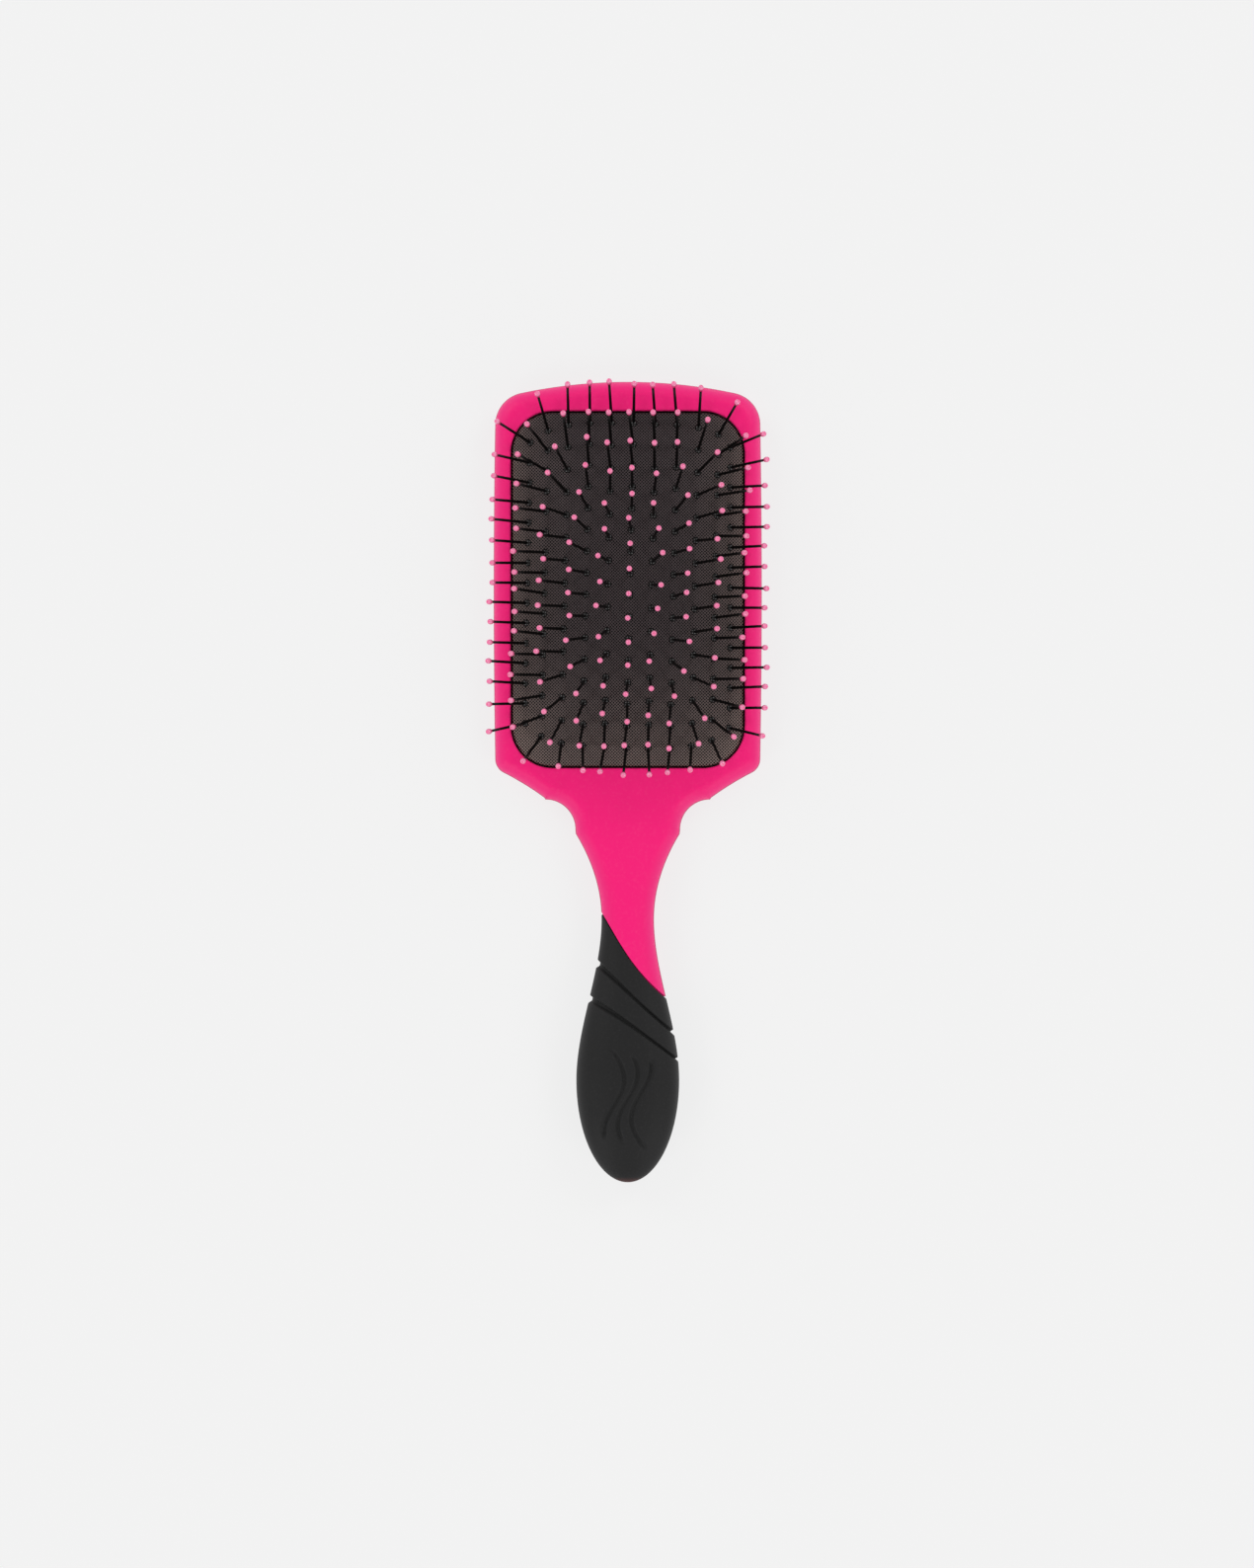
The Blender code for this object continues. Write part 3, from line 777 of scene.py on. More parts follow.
@dataclass(frozen=True)
class CrosshatchRubber(Finish):
    """Charcoal rubber with a fine diagonal cross-hatch of ribs, with painted shade in its pits and painted
    light that makes it lighter towards the pad's edge.
    """

    pitch: float = 0.00074
    pit_edge: tuple[float, float] = (0.30, 0.50)
    pit_depth: float = 0.00012
    rib: Shade = (0.082, 0.061, 0.065)
    grazing_lit_rib: Shade = (0.270, 0.200, 0.180)
    pit_shade: Shade = (0.0006, 0.0004, 0.0004)
    dust_shade: Shade = (0.22, 0.20, 0.19)
    window: PadWindow = PadWindow()

    def material(self) -> bpy.types.Material:
        """Build the rubber."""
        constants = {"Specular IOR Level": 0.16, "Sheen Weight": 0.02}
        material, graph, shader = self._start("pad_crosshatch", constants)
        place = graph.place()
        shaded_hollow = self._hollow(graph, place)
        grain = self._grain(graph, 2600.0, 45.0, 0.8)
        patches = graph.math("ADD", grain.outputs["Cloud"], 0.25)
        # Painted light: the ribs are mixed lighter towards the pad's sides and low end in uneven patches,
        # standing in for light caught at a grazing angle.
        edge = graph.math("MULTIPLY", self._grazing_light_mask(graph, place), patches)
        lit = graph.mix(graph.math("MINIMUM", edge, 1.0), rgba(self.rib), rgba(self.grazing_lit_rib))
        # Painted shade: the pits of the cross-hatch are mixed near black, standing in for the shade that
        # falls in them.
        hatched = graph.mix(shaded_hollow, lit, rgba(self.pit_shade))
        dusty = self._dusted(graph, hatched, 0.05, 1500.0, self.dust_shade)
        rough = graph.ramp(shaded_hollow, into=(0.50, 0.72))
        relief = graph.math("SUBTRACT", graph.math("MULTIPLY", grain.outputs["Grain"], 0.15), shaded_hollow)
        self._dress(graph, shader, dusty, rough, (relief, self.pit_depth, 0.8))
        return material

    def _hollow(self, graph: Graph, place: Sockets) -> Socket:
        """Mask of the pits between two sets of ribs that cross at right angles."""
        turn = math.pi / (self.pitch * math.sqrt(2.0))
        waves = []
        for diagonal in ("ADD", "SUBTRACT"):
            along = graph.math("MULTIPLY", graph.math(diagonal, place["X"], place["Y"]), turn)
            waves.append(graph.math("ABSOLUTE", graph.math("SINE", along)))
        return graph.ramp(graph.math("MINIMUM", *waves), self.pit_edge, interpolation_type="SMOOTHSTEP")

    def _grazing_light_mask(self, graph: Graph, place: Sockets) -> Socket:
        """Nearness to the pad's sides and low end, which sets how much painted light lightens the ribs."""
        half_y, middle_y = self.window.half_y, self.window.middle_y
        across = graph.math("POWER", graph.math("MULTIPLY", place["X"], 1.0 / self.window.half_x), 4.0)
        from_middle = graph.math("MULTIPLY_ADD", place["Y"], -1.0 / half_y, middle_y / half_y)
        along = graph.math("POWER", graph.math("MAXIMUM", from_middle, 0.0), 3.0)
        return graph.math("ADD", across, along)


@dataclass(frozen=True)
class MottledFinish(Finish):
    """Plain moulded surface: two close shades in soft clouds over a fine grain."""

    name: str = "mottled"
    specular: float = 0.45
    shades: tuple[Shade, Shade] = ((0.02, 0.02, 0.02), (0.04, 0.04, 0.04))
    scales: tuple[float, float, float] = (2500.0, 120.0, 0.8)
    rough: tuple[float, float] = (0.40, 0.60)
    relief: tuple[float, float] = (0.00002, 0.3)

    def material(self) -> bpy.types.Material:
        """Build the surface."""
        material, graph, shader = self._start(self.name, {"Specular IOR Level": self.specular})
        grain = self._grain(graph, *self.scales)
        colour = graph.mix(grain.outputs["Cloud"], *(rgba(shade) for shade in self.shades))
        rough = graph.ramp(grain.outputs["Cloud"], into=self.rough)
        self._dress(graph, shader, colour, rough, (grain.outputs["Grain"], *self.relief))
        return material


@dataclass(frozen=True)
class CollarRubber(MottledFinish):
    """Smoother, slightly shiny rubber of the small collars round the pins."""

    name: str = "collar_rubber"
    shades: tuple[Shade, Shade] = ((0.0016, 0.0012, 0.0012), (0.0050, 0.0042, 0.0042))
    scales: tuple[float, float, float] = (3000.0, 200.0, 0.5)
    rough: tuple[float, float] = (0.16, 0.28)


@dataclass(frozen=True)
class NylonShaft(MottledFinish):
    """Black drawn nylon of the pins."""

    name: str = "pin_nylon"
    specular: float = 0.16
    shades: tuple[Shade, Shade] = ((0.0012, 0.0009, 0.0009), (0.0034, 0.0028, 0.0028))
    scales: tuple[float, float, float] = (1800.0, 260.0, 0.7)
    rough: tuple[float, float] = (0.30, 0.44)
    relief: tuple[float, float] = (0.00001, 0.3)


@dataclass(frozen=True)
class MouldedPlastic(MottledFinish):
    """Plain dark plastic of the hidden frame, with moulded grain."""

    name: str = "frame_plastic"
    shades: tuple[Shade, Shade] = ((0.022, 0.022, 0.024), (0.040, 0.040, 0.042))
    rough: tuple[float, float] = (0.42, 0.58)
    relief: tuple[float, float] = (0.00003, 0.4)


@dataclass(frozen=True)
class ResinBead(Finish):
    """Translucent pink bead, with a deeper end, and painted shade that makes its lower half deeper down to
    where the pin goes in.
    """

    skin: Shade = (0.870, 0.240, 0.435)
    milky: Shade = (0.95, 0.42, 0.60)
    core: Shade = (0.900, 0.120, 0.330)
    shaded_root: Shade = (0.620, 0.012, 0.120)
    scatter_radius: Shade = (0.0012, 0.0006, 0.0008)
    end_band: tuple[float, float] = (0.80, 0.97)
    root_band: tuple[float, float] = (0.40, -0.40)

    def material(self) -> bpy.types.Material:
        """Build the resin."""
        constants = {
            "Specular IOR Level": 0.5,
            "Subsurface Weight": 0.35,
            "Subsurface Radius": self.scatter_radius,
            "Subsurface Scale": 0.5,
            "Coat Weight": 0.25,
        }
        material, graph, shader = self._start("bead_resin", constants)
        pole = graph.stored("pole")
        grain = self._grain(graph, 2400.0, 420.0, 0.8)
        cloudy = graph.math("MULTIPLY", graph.math("SUBTRACT", grain.outputs["Cloud"], 0.42), 0.9)
        pinks = graph.mix(graph.math("MAXIMUM", cloudy, 0.0), rgba(self.skin), rgba(self.milky))
        capped = graph.mix(graph.ramp(pole, self.end_band, (0.0, 0.75)), pinks, rgba(self.core))
        # Painted shade: the lower half of the bead is mixed darker, standing in for the shade on its side
        # turned down, which reads as a dark ring from above.
        resin = graph.mix(graph.ramp(pole, self.root_band), capped, rgba(self.shaded_root))
        rough = graph.ramp(grain.outputs["Cloud"], into=(0.22, 0.34))
        self._dress(graph, shader, resin, rough, (grain.outputs["Grain"], 0.00001, 0.2))
        return material


# ---------------------------------------------------------------- sub-assemblies


@dataclass
class PaddleBody:
    """Head, neck and handle core in one moulding, with the pad's well cut into the head."""

    plan: BrushPlan
    window: PadWindow
    finish: SoftTouchPaint
    grip_edge: Line
    core_inset: float = 0.00235
    core_end_y: float = -0.1270
    neck_rows: int = 70
    core_rows: int = 12
    lip_steps: int = 5
    rim_reach: float = 0.0042

    def build(self) -> bpy.types.Object:
        """Build and dress the body, and put it in place of its CAD solid."""
        straight = [(y, 0.0, 0.0) for y in self.plan.head_outline(self.plan.outline_steps)[1:, 1]]
        neck = [self._toward(straight[-1], self.grip_edge, share) for share in self._shares(self.neck_rows)]
        core_end = (self.core_end_y, 0.0, 0.0)
        core = [self._toward(self.grip_edge, core_end, share) for share in self._shares(self.core_rows)]
        loops = [self.plan.loop(line) for line in straight + neck]
        loops += [self.plan.loop(line, self.core_inset) for line in [self.grip_edge] + core]
        grip_middle, _, head_middle = self.plan.middle_heights
        poles = ((0.0, self.plan.crown_y, head_middle), (0.0, self.core_end_y, grip_middle))
        blank = add_piece(skin("body_blank", loops, poles), self.finish.material())
        mesh = self._cut_well(blank)
        points = vertex_points(mesh)
        distance = self.plan.edge_distance(points[:, 0], points[:, 1])
        # The rim value is nearness to the outline; the paint uses it for painted light on the edges and
        # painted shade at the outline.
        store_values(mesh, "rim", 1.0 - smooth(distance / self.rim_reach))
        piece = add_piece(mesh, blank.data.materials[0])
        bpy.data.objects.remove(blank)
        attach(piece, Body.PADDLE.value)
        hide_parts("paddle_body")
        return piece

    @staticmethod
    def _shares(count: int) -> np.ndarray:
        """Even shares up to 1, without 0."""
        return np.linspace(0.0, 1.0, count + 1)[1:]

    @staticmethod
    def _toward(first: Line, last: Line, share: float) -> Line:
        """Line at a share of the way from the first to the last."""
        return tuple(a + (b - a) * share for a, b in zip(first, last))

    def _cut_well(self, blank: bpy.types.Object) -> bpy.types.Mesh:
        """Cut the well, its groove and the rounded lip of the window.

        Args:
            blank: The body without its well.

        Returns:
            The cut mesh, named body_shell.
        """
        front = self.plan.front_heights[2]
        radius = self.window.lip_radius
        turns = np.linspace(0.0, math.pi / 2, self.lip_steps + 1)
        lip = [(radius - radius * math.sin(a), front - radius + radius * math.cos(a)) for a in turns]
        profile = [
            (radius, front + radius),
            *lip,
            (0.0, self.window.groove_high),
            (self.window.groove_depth, self.window.groove_high),
            (self.window.groove_depth, self.window.groove_low),
            (0.0, self.window.groove_low),
            (0.0, self.window.floor),
        ]
        loops = [self.window.loop(offset, z) for offset, z in profile]
        poles = ((0.0, self.window.middle_y, front + radius), (0.0, self.window.middle_y, self.window.floor))
        cutter = bpy.data.objects.new("well_cutter", skin("well_cutter", loops, poles))
        bpy.context.scene.collection.objects.link(cutter)
        cut = blank.modifiers.new("well", "BOOLEAN")
        cut.operation = "DIFFERENCE"
        cut.solver = "EXACT"
        cut.object = cutter
        mesh = evaluated_mesh(blank, "body_shell")
        bpy.data.objects.remove(cutter)
        return mesh


@dataclass
class GripSleeve:
    """Soft sleeve over the handle core, with two slanting grooves and an engraved wave motif."""

    plan: BrushPlan
    finish: GripRubber
    edge: Line
    grooves: tuple[Line, ...] = ((-0.0699, -0.0114, -0.0024), (-0.0801, -0.0102, -0.0025))
    edge_gap: float = 0.0005
    groove_half_width: float = 0.0012
    groove_flat: float = 0.25
    groove_depth: float = 0.0011
    lip_radius: float = 0.0005
    wall: float = 0.0020
    bore_end_y: float = -0.1278
    front: int = 181
    row_step: float = 0.00031
    groove_rows: int = 18
    bore_rows: int = 14
    strand_y: tuple[float, float] = (-0.0880, -0.1225)
    strand_spacing: float = 0.0046
    strand_sway: float = 0.0034
    strand_half_width: float = 0.00115
    strand_depth: float = 0.00070
    strand_lag: float = 0.06
    strand_stagger: float = 0.05
    strand_fade: float = 0.08
    engraved_shade: float = 0.9
    lip_shares: tuple[float, ...] = (1.0, 0.35, 0.08)
    rim_reach: float = 0.0045

    def build(self) -> bpy.types.Object:
        """Build and dress the sleeve, and put it in place of its CAD solid."""
        start = self.edge[0] - self.edge_gap
        end = -self.plan.crown_y
        loops = [self._loop(y, self.wall) for y in self._bore_stations(start)]
        for share in self.lip_shares:
            step = self.lip_radius * (1.0 - math.sqrt(share))
            loops.append(self._loop(start - step, self.lip_radius * share))
        deep = [0.0] * len(loops)
        for y in self._outer_stations(start - self.lip_radius, end):
            inset = self._groove_inset(y)
            loops.append(self._loop(y, inset))
            deep.append(inset / self.groove_depth)
        middle = self.plan.middle_heights[0]
        poles = ((0.0, self.bore_end_y, middle), (0.0, end, middle))
        mesh = skin("grip", loops, poles)
        engraved = self._engrave(mesh)
        grooved = np.concatenate((np.repeat(deep, len(loops[0])), (0.0, 0.0)))
        # Mask of the grooves and the engraving, for the painted shade in the rubber's colour.
        store_values(mesh, "shaded_hollow", np.maximum(smooth(1.6 * grooved - 0.3), self.engraved_shade * engraved))
        # The rim value is nearness to the outline; the rubber uses it for rubbed wear and for painted shade
        # at the outline.
        points = vertex_points(mesh)
        distance = self.plan.edge_distance(points[:, 0], points[:, 1])
        store_values(mesh, "rim", 1.0 - smooth(distance / self.rim_reach))
        piece = add_piece(mesh, self.finish.material(), sharp=50.0)
        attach(piece, Body.PADDLE.value)
        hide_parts("grip_sleeve")
        return piece

    def _loop(self, middle: float, inset: float) -> np.ndarray:
        """Loop through a middle station, with its front fine enough for the engraving."""
        return self.plan.loop(self._line(middle), inset, front=self.front)

    def _line(self, middle: float) -> Line:
        """Slanted line through a middle station, turning square to the handle below the grooves."""
        lines = (self.edge, *self.grooves, (self.plan.grip_y - 0.004, 0.0, 0.0))
        stations = [line[0] for line in lines][::-1]
        slope = np.interp(middle, stations, [line[1] for line in lines][::-1])
        bend = np.interp(middle, stations, [line[2] for line in lines][::-1])
        return (middle, float(slope), float(bend))

    def _bore_stations(self, start: float) -> np.ndarray:
        """Stations of the bore's loops, from its blind end up to the sleeve's edge."""
        return np.linspace(self.bore_end_y, start, self.bore_rows)

    def _outer_stations(self, start: float, end: float) -> np.ndarray:
        """Stations of the outer loops, closer together across the grooves and round the butt."""
        plain = np.arange(start, self.plan.grip_y, -self.row_step)
        reach = 1.3 * self.groove_half_width
        fine = [np.linspace(line[0] + reach, line[0] - reach, self.groove_rows) for line in self.grooves]
        turns = np.linspace(0.0, math.pi / 2, 90)[:-1]
        butt = self.plan.grip_y + (end - self.plan.grip_y) * np.sin(turns)
        stations = np.unique(np.concatenate((plain, *fine, butt)))[::-1]
        return stations[np.concatenate(([True], -np.diff(stations) > 2e-5))]

    def _groove_inset(self, middle: float) -> float:
        """Depth of the grooves at a station, with a flat floor and rounded lips."""
        depth = 0.0
        for line in self.grooves:
            away = abs(middle - line[0]) / self.groove_half_width
            wall = (away - self.groove_flat) / (1.0 - self.groove_flat)
            depth = max(depth, self.groove_depth * (1.0 - float(smooth(np.array(wall)))))
        return depth

    def _engrave(self, mesh: bpy.types.Mesh) -> np.ndarray:
        """Press three parallel waving strands into the front of the grip.

        Args:
            mesh: Mesh of the sleeve, changed in place.

        Returns:
            How deep each vertex was pressed, from 0 to 1.
        """
        points = vertex_points(mesh)
        top, low = self.strand_y
        along = (points[:, 1] - top) / (low - top)
        cut = np.zeros(len(points))
        for strand in (-1, 0, 1):
            phase = 2 * math.pi * (np.clip(along, 0.0, 1.0) + self.strand_lag * strand)
            centre = strand * self.strand_spacing + self.strand_sway * np.sin(phase)
            slope = self.strand_sway * 2 * math.pi * np.cos(phase) / (low - top)
            aside = np.abs(points[:, 0] - centre) / np.sqrt(1.0 + slope**2)
            first, last = self.strand_stagger * (strand + 1), 1.0 - self.strand_stagger * (1 - strand)
            ends = smooth((along - first) / self.strand_fade) * smooth((last - along) / self.strand_fade)
            cut = np.maximum(cut, (1.0 - smooth(aside / self.strand_half_width)) * ends)
        normals = np.empty(len(points) * 3, np.float32)
        mesh.vertex_normals.foreach_get("vector", normals)
        normals = normals.reshape(-1, 3)
        outer_front = (normals[:, 2] > 0.3) & (points[:, 2] > self.plan.middle_heights[0] + 0.004)
        pressed = cut * outer_front
        points -= normals * (pressed * self.strand_depth)[:, None]
        mesh.vertices.foreach_set("co", points.astype(np.float32).ravel())
        mesh.update()
        return pressed


@dataclass
class CushionPad:
    """Rubber membrane with a side wall and a flange that sits in the body's groove."""

    dome: PadDome
    finish: CrosshatchRubber
    side_gap: float = 0.0006
    wall: float = 0.0012
    flange_gap: float = 0.0003
    shoulder_radius: float = 0.0008
    shoulder_steps: int = 5
    rings: int = 30
    hinge_band: tuple[float, float] = (0.0110, 0.0120)

    def build(self) -> bpy.types.Object:
        """Build and dress the membrane, and put it in place of its CAD solid."""
        window = self.dome.window
        outer, inner = -self.side_gap, -self.side_gap - self.wall
        flange = window.groove_depth - self.flange_gap
        high, low = window.groove_high - self.flange_gap, window.groove_low + self.flange_gap
        shares = np.linspace(0.0, 1.0, self.rings + 1)[1:]
        loops = [self._dome_loop(outer - self.shoulder_radius, share, 0.0) for share in shares]
        for a in np.linspace(0.0, math.pi / 2, self.shoulder_steps + 1)[1:]:
            offset = outer - self.shoulder_radius * (1.0 - math.sin(a))
            drop = self.shoulder_radius * (1.0 - math.cos(a))
            loops.append(self._dome_loop(offset, 1.0, drop))
        loops += [window.loop(outer, high + 0.0006), window.loop(outer, high), window.loop(flange, high)]
        loops += [window.loop(flange, low), window.loop(inner, low), window.loop(inner, high)]
        loops += [self._dome_loop(inner, share, self.wall) for share in shares[::-1]]
        crown = float(self.dome.height(np.array(0.0), np.array(window.middle_y)))
        poles = ((0.0, window.middle_y, crown), (0.0, window.middle_y, crown - self.wall))
        piece = add_piece(skin("rubber_pad", loops, poles), self.finish.material(), sharp=50.0)
        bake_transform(piece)
        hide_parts("cushion_pad")
        return piece

    def _dome_loop(self, offset: float, scale: float, lowered: float) -> np.ndarray:
        """Loop that lies on the dome, or a little below it."""
        loop = self.dome.window.loop(offset, 0.0, scale)
        loop[:, 2] = self.dome.height(loop[:, 0], loop[:, 1]) - lowered
        return loop


@dataclass(frozen=True)
class PinRow:
    """The pins of one half column, as the frame groups them."""

    name: str
    number: int
    x: float
    stations: np.ndarray


@dataclass
class PinField:
    """Columns of nylon pins with resin beads, made row by row with Geometry Nodes."""

    dome: PadDome
    splay: PinSplay
    shaft_finish: NylonShaft
    bead_finish: ResinBead
    collar_finish: CollarRubber
    side_columns: int = 5
    pitch: float = 0.00727
    pitch_closing: float = 0.0591
    long_column: int = 16
    short_column: int = 15
    middle_y: float = 0.0649
    half_length: float = 0.0540
    rounding: float = 0.0420
    length: float = 0.0195
    lean_left: float = 0.030
    scatter: float = 0.050
    pad_turn: float = -1.3
    pad_shift: tuple[float, float] = (0.0007, 0.0004)
    root_reach: float = 0.0342
    collar_radius: float = 0.00122

    def rows(self) -> Iterator[PinRow]:
        """Each half column, from left to right."""
        for column in range(-self.side_columns, self.side_columns + 1):
            share = column / self.side_columns
            x = self.pitch * column * (1.0 - self.pitch_closing * share**4)
            half = self.half_length * (1.0 - (abs(x) / self.rounding) ** 4) ** 0.25
            count = self.short_column if column % 2 else self.long_column
            stations = self.middle_y + np.linspace(-half, half, count)
            number = column + self.side_columns + 1
            split = count // 2
            for side, part in ((Half.LOW, stations[:split]), (Half.TOP, stations[split:])):
                yield PinRow(f"{number:02d}_{side.value}", number, x, part)

    def build(self) -> list[bpy.types.Object]:
        """Build the shafts and beads of every row, and the collars on the pad."""
        shaft_tree, bead_tree, collar_tree = ShaftTree().build(), BeadTree().build(), CollarTree().build()
        shaft, bead = self.shaft_finish.material(), self.bead_finish.material()
        pieces = []
        for seed, row in enumerate(self.rows()):
            roots = self._roots(row, self.splay.direction)
            values = {"Length": self.length, "Scatter": self.scatter, "Lean": self.lean_left, "Seed": seed}
            shafts = grow(f"pin_shafts_{row.name}", roots, shaft_tree, {**values, "Material": shaft})
            beads = grow(f"pin_beads_{row.name}", roots, bead_tree, {**values, "Material": bead})
            for piece, slot in ((shafts, Slot.PIN), (beads, Slot.BEAD)):
                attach(piece, f"row_{row.name}")
                pieces.append(piece)
            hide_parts(f"pins_{row.name}")
        pieces.append(self._collars(collar_tree))
        return pieces

    def _roots(
        self, row: PinRow, direction: Callable[[float, float], np.ndarray]
    ) -> tuple[np.ndarray, np.ndarray]:
        """Root points of a row on the pad, which sits turned a little in its window.

        The roots keep clear of the frame inside the pad's wall, so it can go down past the frame.

        Args:
            row: The row.
            direction: Gives the direction out of a root from its place in plan.

        Returns:
            The root points, and the direction out of each.
        """
        turn = math.radians(self.pad_turn)
        cos, sin = math.cos(turn), math.sin(turn)
        along = row.stations - self.dome.window.middle_y
        x = np.clip(cos * row.x - sin * along + self.pad_shift[0], -self.root_reach, self.root_reach)
        y = sin * row.x + cos * along + self.dome.window.middle_y + self.pad_shift[1]
        points = np.column_stack((x, y, self.dome.height(x, y)))
        return points, np.array([direction(*place) for place in zip(x, y)])

    def _collars(self, tree: bpy.types.NodeTree) -> bpy.types.Object:
        """One piece with the collar of every pin, part of the rubber."""
        found = [self._roots(row, self.dome.normal) for row in self.rows()]
        roots = (np.vstack([points for points, _ in found]), np.vstack([aims for _, aims in found]))
        values = {"Radius": self.collar_radius, "Material": self.collar_finish.material()}
        piece = grow("pin_collars", roots, tree, values)
        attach(piece, Body.CUSHION.value)
        return piece


def grow(
    name: str, roots: tuple[np.ndarray, np.ndarray], tree: bpy.types.NodeTree, values: dict[str, object]
) -> bpy.types.Object:
    """Run a Geometry Nodes tree on root points and keep the result as a plain piece.

    Args:
        name: Name of the piece.
        roots: Root points, and the direction out of each.
        tree: Tree that sets one turned shape on each point.
        values: Values of the tree's inputs, by name.

    Returns:
        The piece, with a plain mesh and no modifier.
    """
    points, aims = roots
    seeds = bpy.data.meshes.new(name + "_roots")
    seeds.from_pydata(points.tolist(), [], [])
    attribute = seeds.attributes.new("aim", "FLOAT_VECTOR", "POINT")
    attribute.data.foreach_set("vector", aims.astype(np.float32).ravel())
    carrier = bpy.data.objects.new(name + "_roots", seeds)
    bpy.context.scene.collection.objects.link(carrier)
    modifier = carrier.modifiers.new("grow", "NODES")
    modifier.node_group = tree
    identifiers = {
        item.name: item.identifier
        for item in tree.interface.items_tree
        if item.item_type == "SOCKET" and item.in_out == "INPUT"
    }
    for label, value in values.items():
        modifier[identifiers[label]] = value
    mesh = evaluated_mesh(carrier, name)
    bpy.data.objects.remove(carrier)
    piece = bpy.data.objects.new(name, mesh)
    bpy.context.scene.collection.objects.link(piece)
    return piece


class TurnedTree:
    """Geometry Nodes tree that stands one turned shape on each root point."""

    name = "turned_shape"
    inputs: tuple[tuple[str, str], ...] = ()

    def build(self) -> bpy.types.NodeTree:
        """Build the tree: shape, aim, instances, realized mesh and material."""
        sockets = [("Geometry", "INPUT", GEOMETRY)]
        sockets += [(label, "INPUT", kind) for label, kind in self.inputs]
        sockets += [("Material", "INPUT", MATERIAL), ("Geometry", "OUTPUT", GEOMETRY)]
        tree = new_group(self.name, "GeometryNodeTree", sockets)
        graph = Graph(tree)
        given = graph.add("NodeGroupInput")
        shape = self.shape(graph, given)
        stored = graph.add("GeometryNodeInputNamedAttribute", {"Name": "aim"}, data_type="FLOAT_VECTOR")
        aim = {"Vector": self.aim(graph, given, stored.outputs[0])}
        turned = graph.add("FunctionNodeAlignRotationToVector", aim, axis="Z")
        stand = graph.add(
            "GeometryNodeInstanceOnPoints",
            {"Points": given.outputs["Geometry"], "Instance": shape, "Rotation": turned.outputs[0]},
        )
        plain = graph.add("GeometryNodeRealizeInstances", {0: stand.outputs[0]})
        rounded = graph.add("GeometryNodeSetShadeSmooth", {0: plain.outputs[0]})
        dressed = graph.add(
            "GeometryNodeSetMaterial", {"Geometry": rounded.outputs[0], "Material": given.outputs["Material"]}
        )
        graph.add("NodeGroupOutput", {0: dressed.outputs[0]})
        return tree

    def shape(self, graph: Graph, given: bpy.types.Node) -> Socket:
        """Geometry of one shape, standing on the origin along +Z."""
        raise NotImplementedError

    def aim(self, graph: Graph, given: bpy.types.Node, aim: Socket) -> Socket:
        """Direction of each shape; here the stored one."""
        return aim


class PinTree(TurnedTree):
    """Tree for a part of the pins, which share their small scatter from the stored direction."""

    inputs = (("Length", FLOAT), ("Scatter", FLOAT), ("Lean", FLOAT), ("Seed", INTEGER))

    def aim(self, graph: Graph, given: bpy.types.Node, aim: Socket) -> Socket:
        """Stored direction with a random lean, the same for every part of one pin."""
        spread = given.outputs["Scatter"]
        least = graph.math("MULTIPLY", spread, -1.0)
        low = graph.add("ShaderNodeCombineXYZ", {0: least, 1: least})
        high = graph.add("ShaderNodeCombineXYZ", {0: spread, 1: spread})
        chance = graph.add(
            "FunctionNodeRandomValue", {"Seed": given.outputs["Seed"]}, data_type="FLOAT_VECTOR"
        )
        graph.tree.links.new(low.outputs[0], chance.inputs[0])
        graph.tree.links.new(high.outputs[0], chance.inputs[1])
        lean = graph.add("ShaderNodeCombineXYZ", {0: graph.math("MULTIPLY", given.outputs["Lean"], -1.0)})
        first = graph.add("ShaderNodeVectorMath", {0: aim, 1: chance.outputs[0]}, operation="ADD")
        second = graph.add("ShaderNodeVectorMath", {0: first.outputs[0], 1: lean.outputs[0]}, operation="ADD")
        return second.outputs[0]


class ShaftTree(PinTree):
    """Tree for the tapered nylon shafts, with the flared head under the rubber."""

    name = "pin_shafts"
    sides = 8
    side_segments = 3
    head_sides = 10
    root_radius = 0.00052
    end_radius = 0.00043
    sink = 0.0018
    bead_overlap = 0.0012
    head_radius = 0.0011
    head_height = 0.0005

    def shape(self, graph: Graph, given: bpy.types.Node) -> Socket:
        """Shaft from its head under the pad up into its bead."""
        reach = graph.math("ADD", given.outputs["Length"], self.sink - self.bead_overlap)
        cone = {
            "Vertices": self.sides,
            "Side Segments": self.side_segments,
            "Radius Top": self.end_radius,
            "Radius Bottom": self.root_radius,
            "Depth": reach,
        }
        shaft = graph.add("GeometryNodeMeshCone", cone)
        below = {0: shaft.outputs[0], "Translation": (0.0, 0.0, -self.sink)}
        lowered = graph.add("GeometryNodeTransform", below)
        disc = {"Vertices": self.head_sides, "Radius": self.head_radius, "Depth": self.head_height}
        head = graph.add("GeometryNodeMeshCylinder", disc)
        head_place = (0.0, 0.0, -self.sink - self.head_height / 2)
        set_head = graph.add("GeometryNodeTransform", {0: head.outputs[0], "Translation": head_place})
        both = graph.add("GeometryNodeJoinGeometry", {0: lowered.outputs[0]})
        graph.tree.links.new(set_head.outputs[0], both.inputs[0])
        return both.outputs[0]


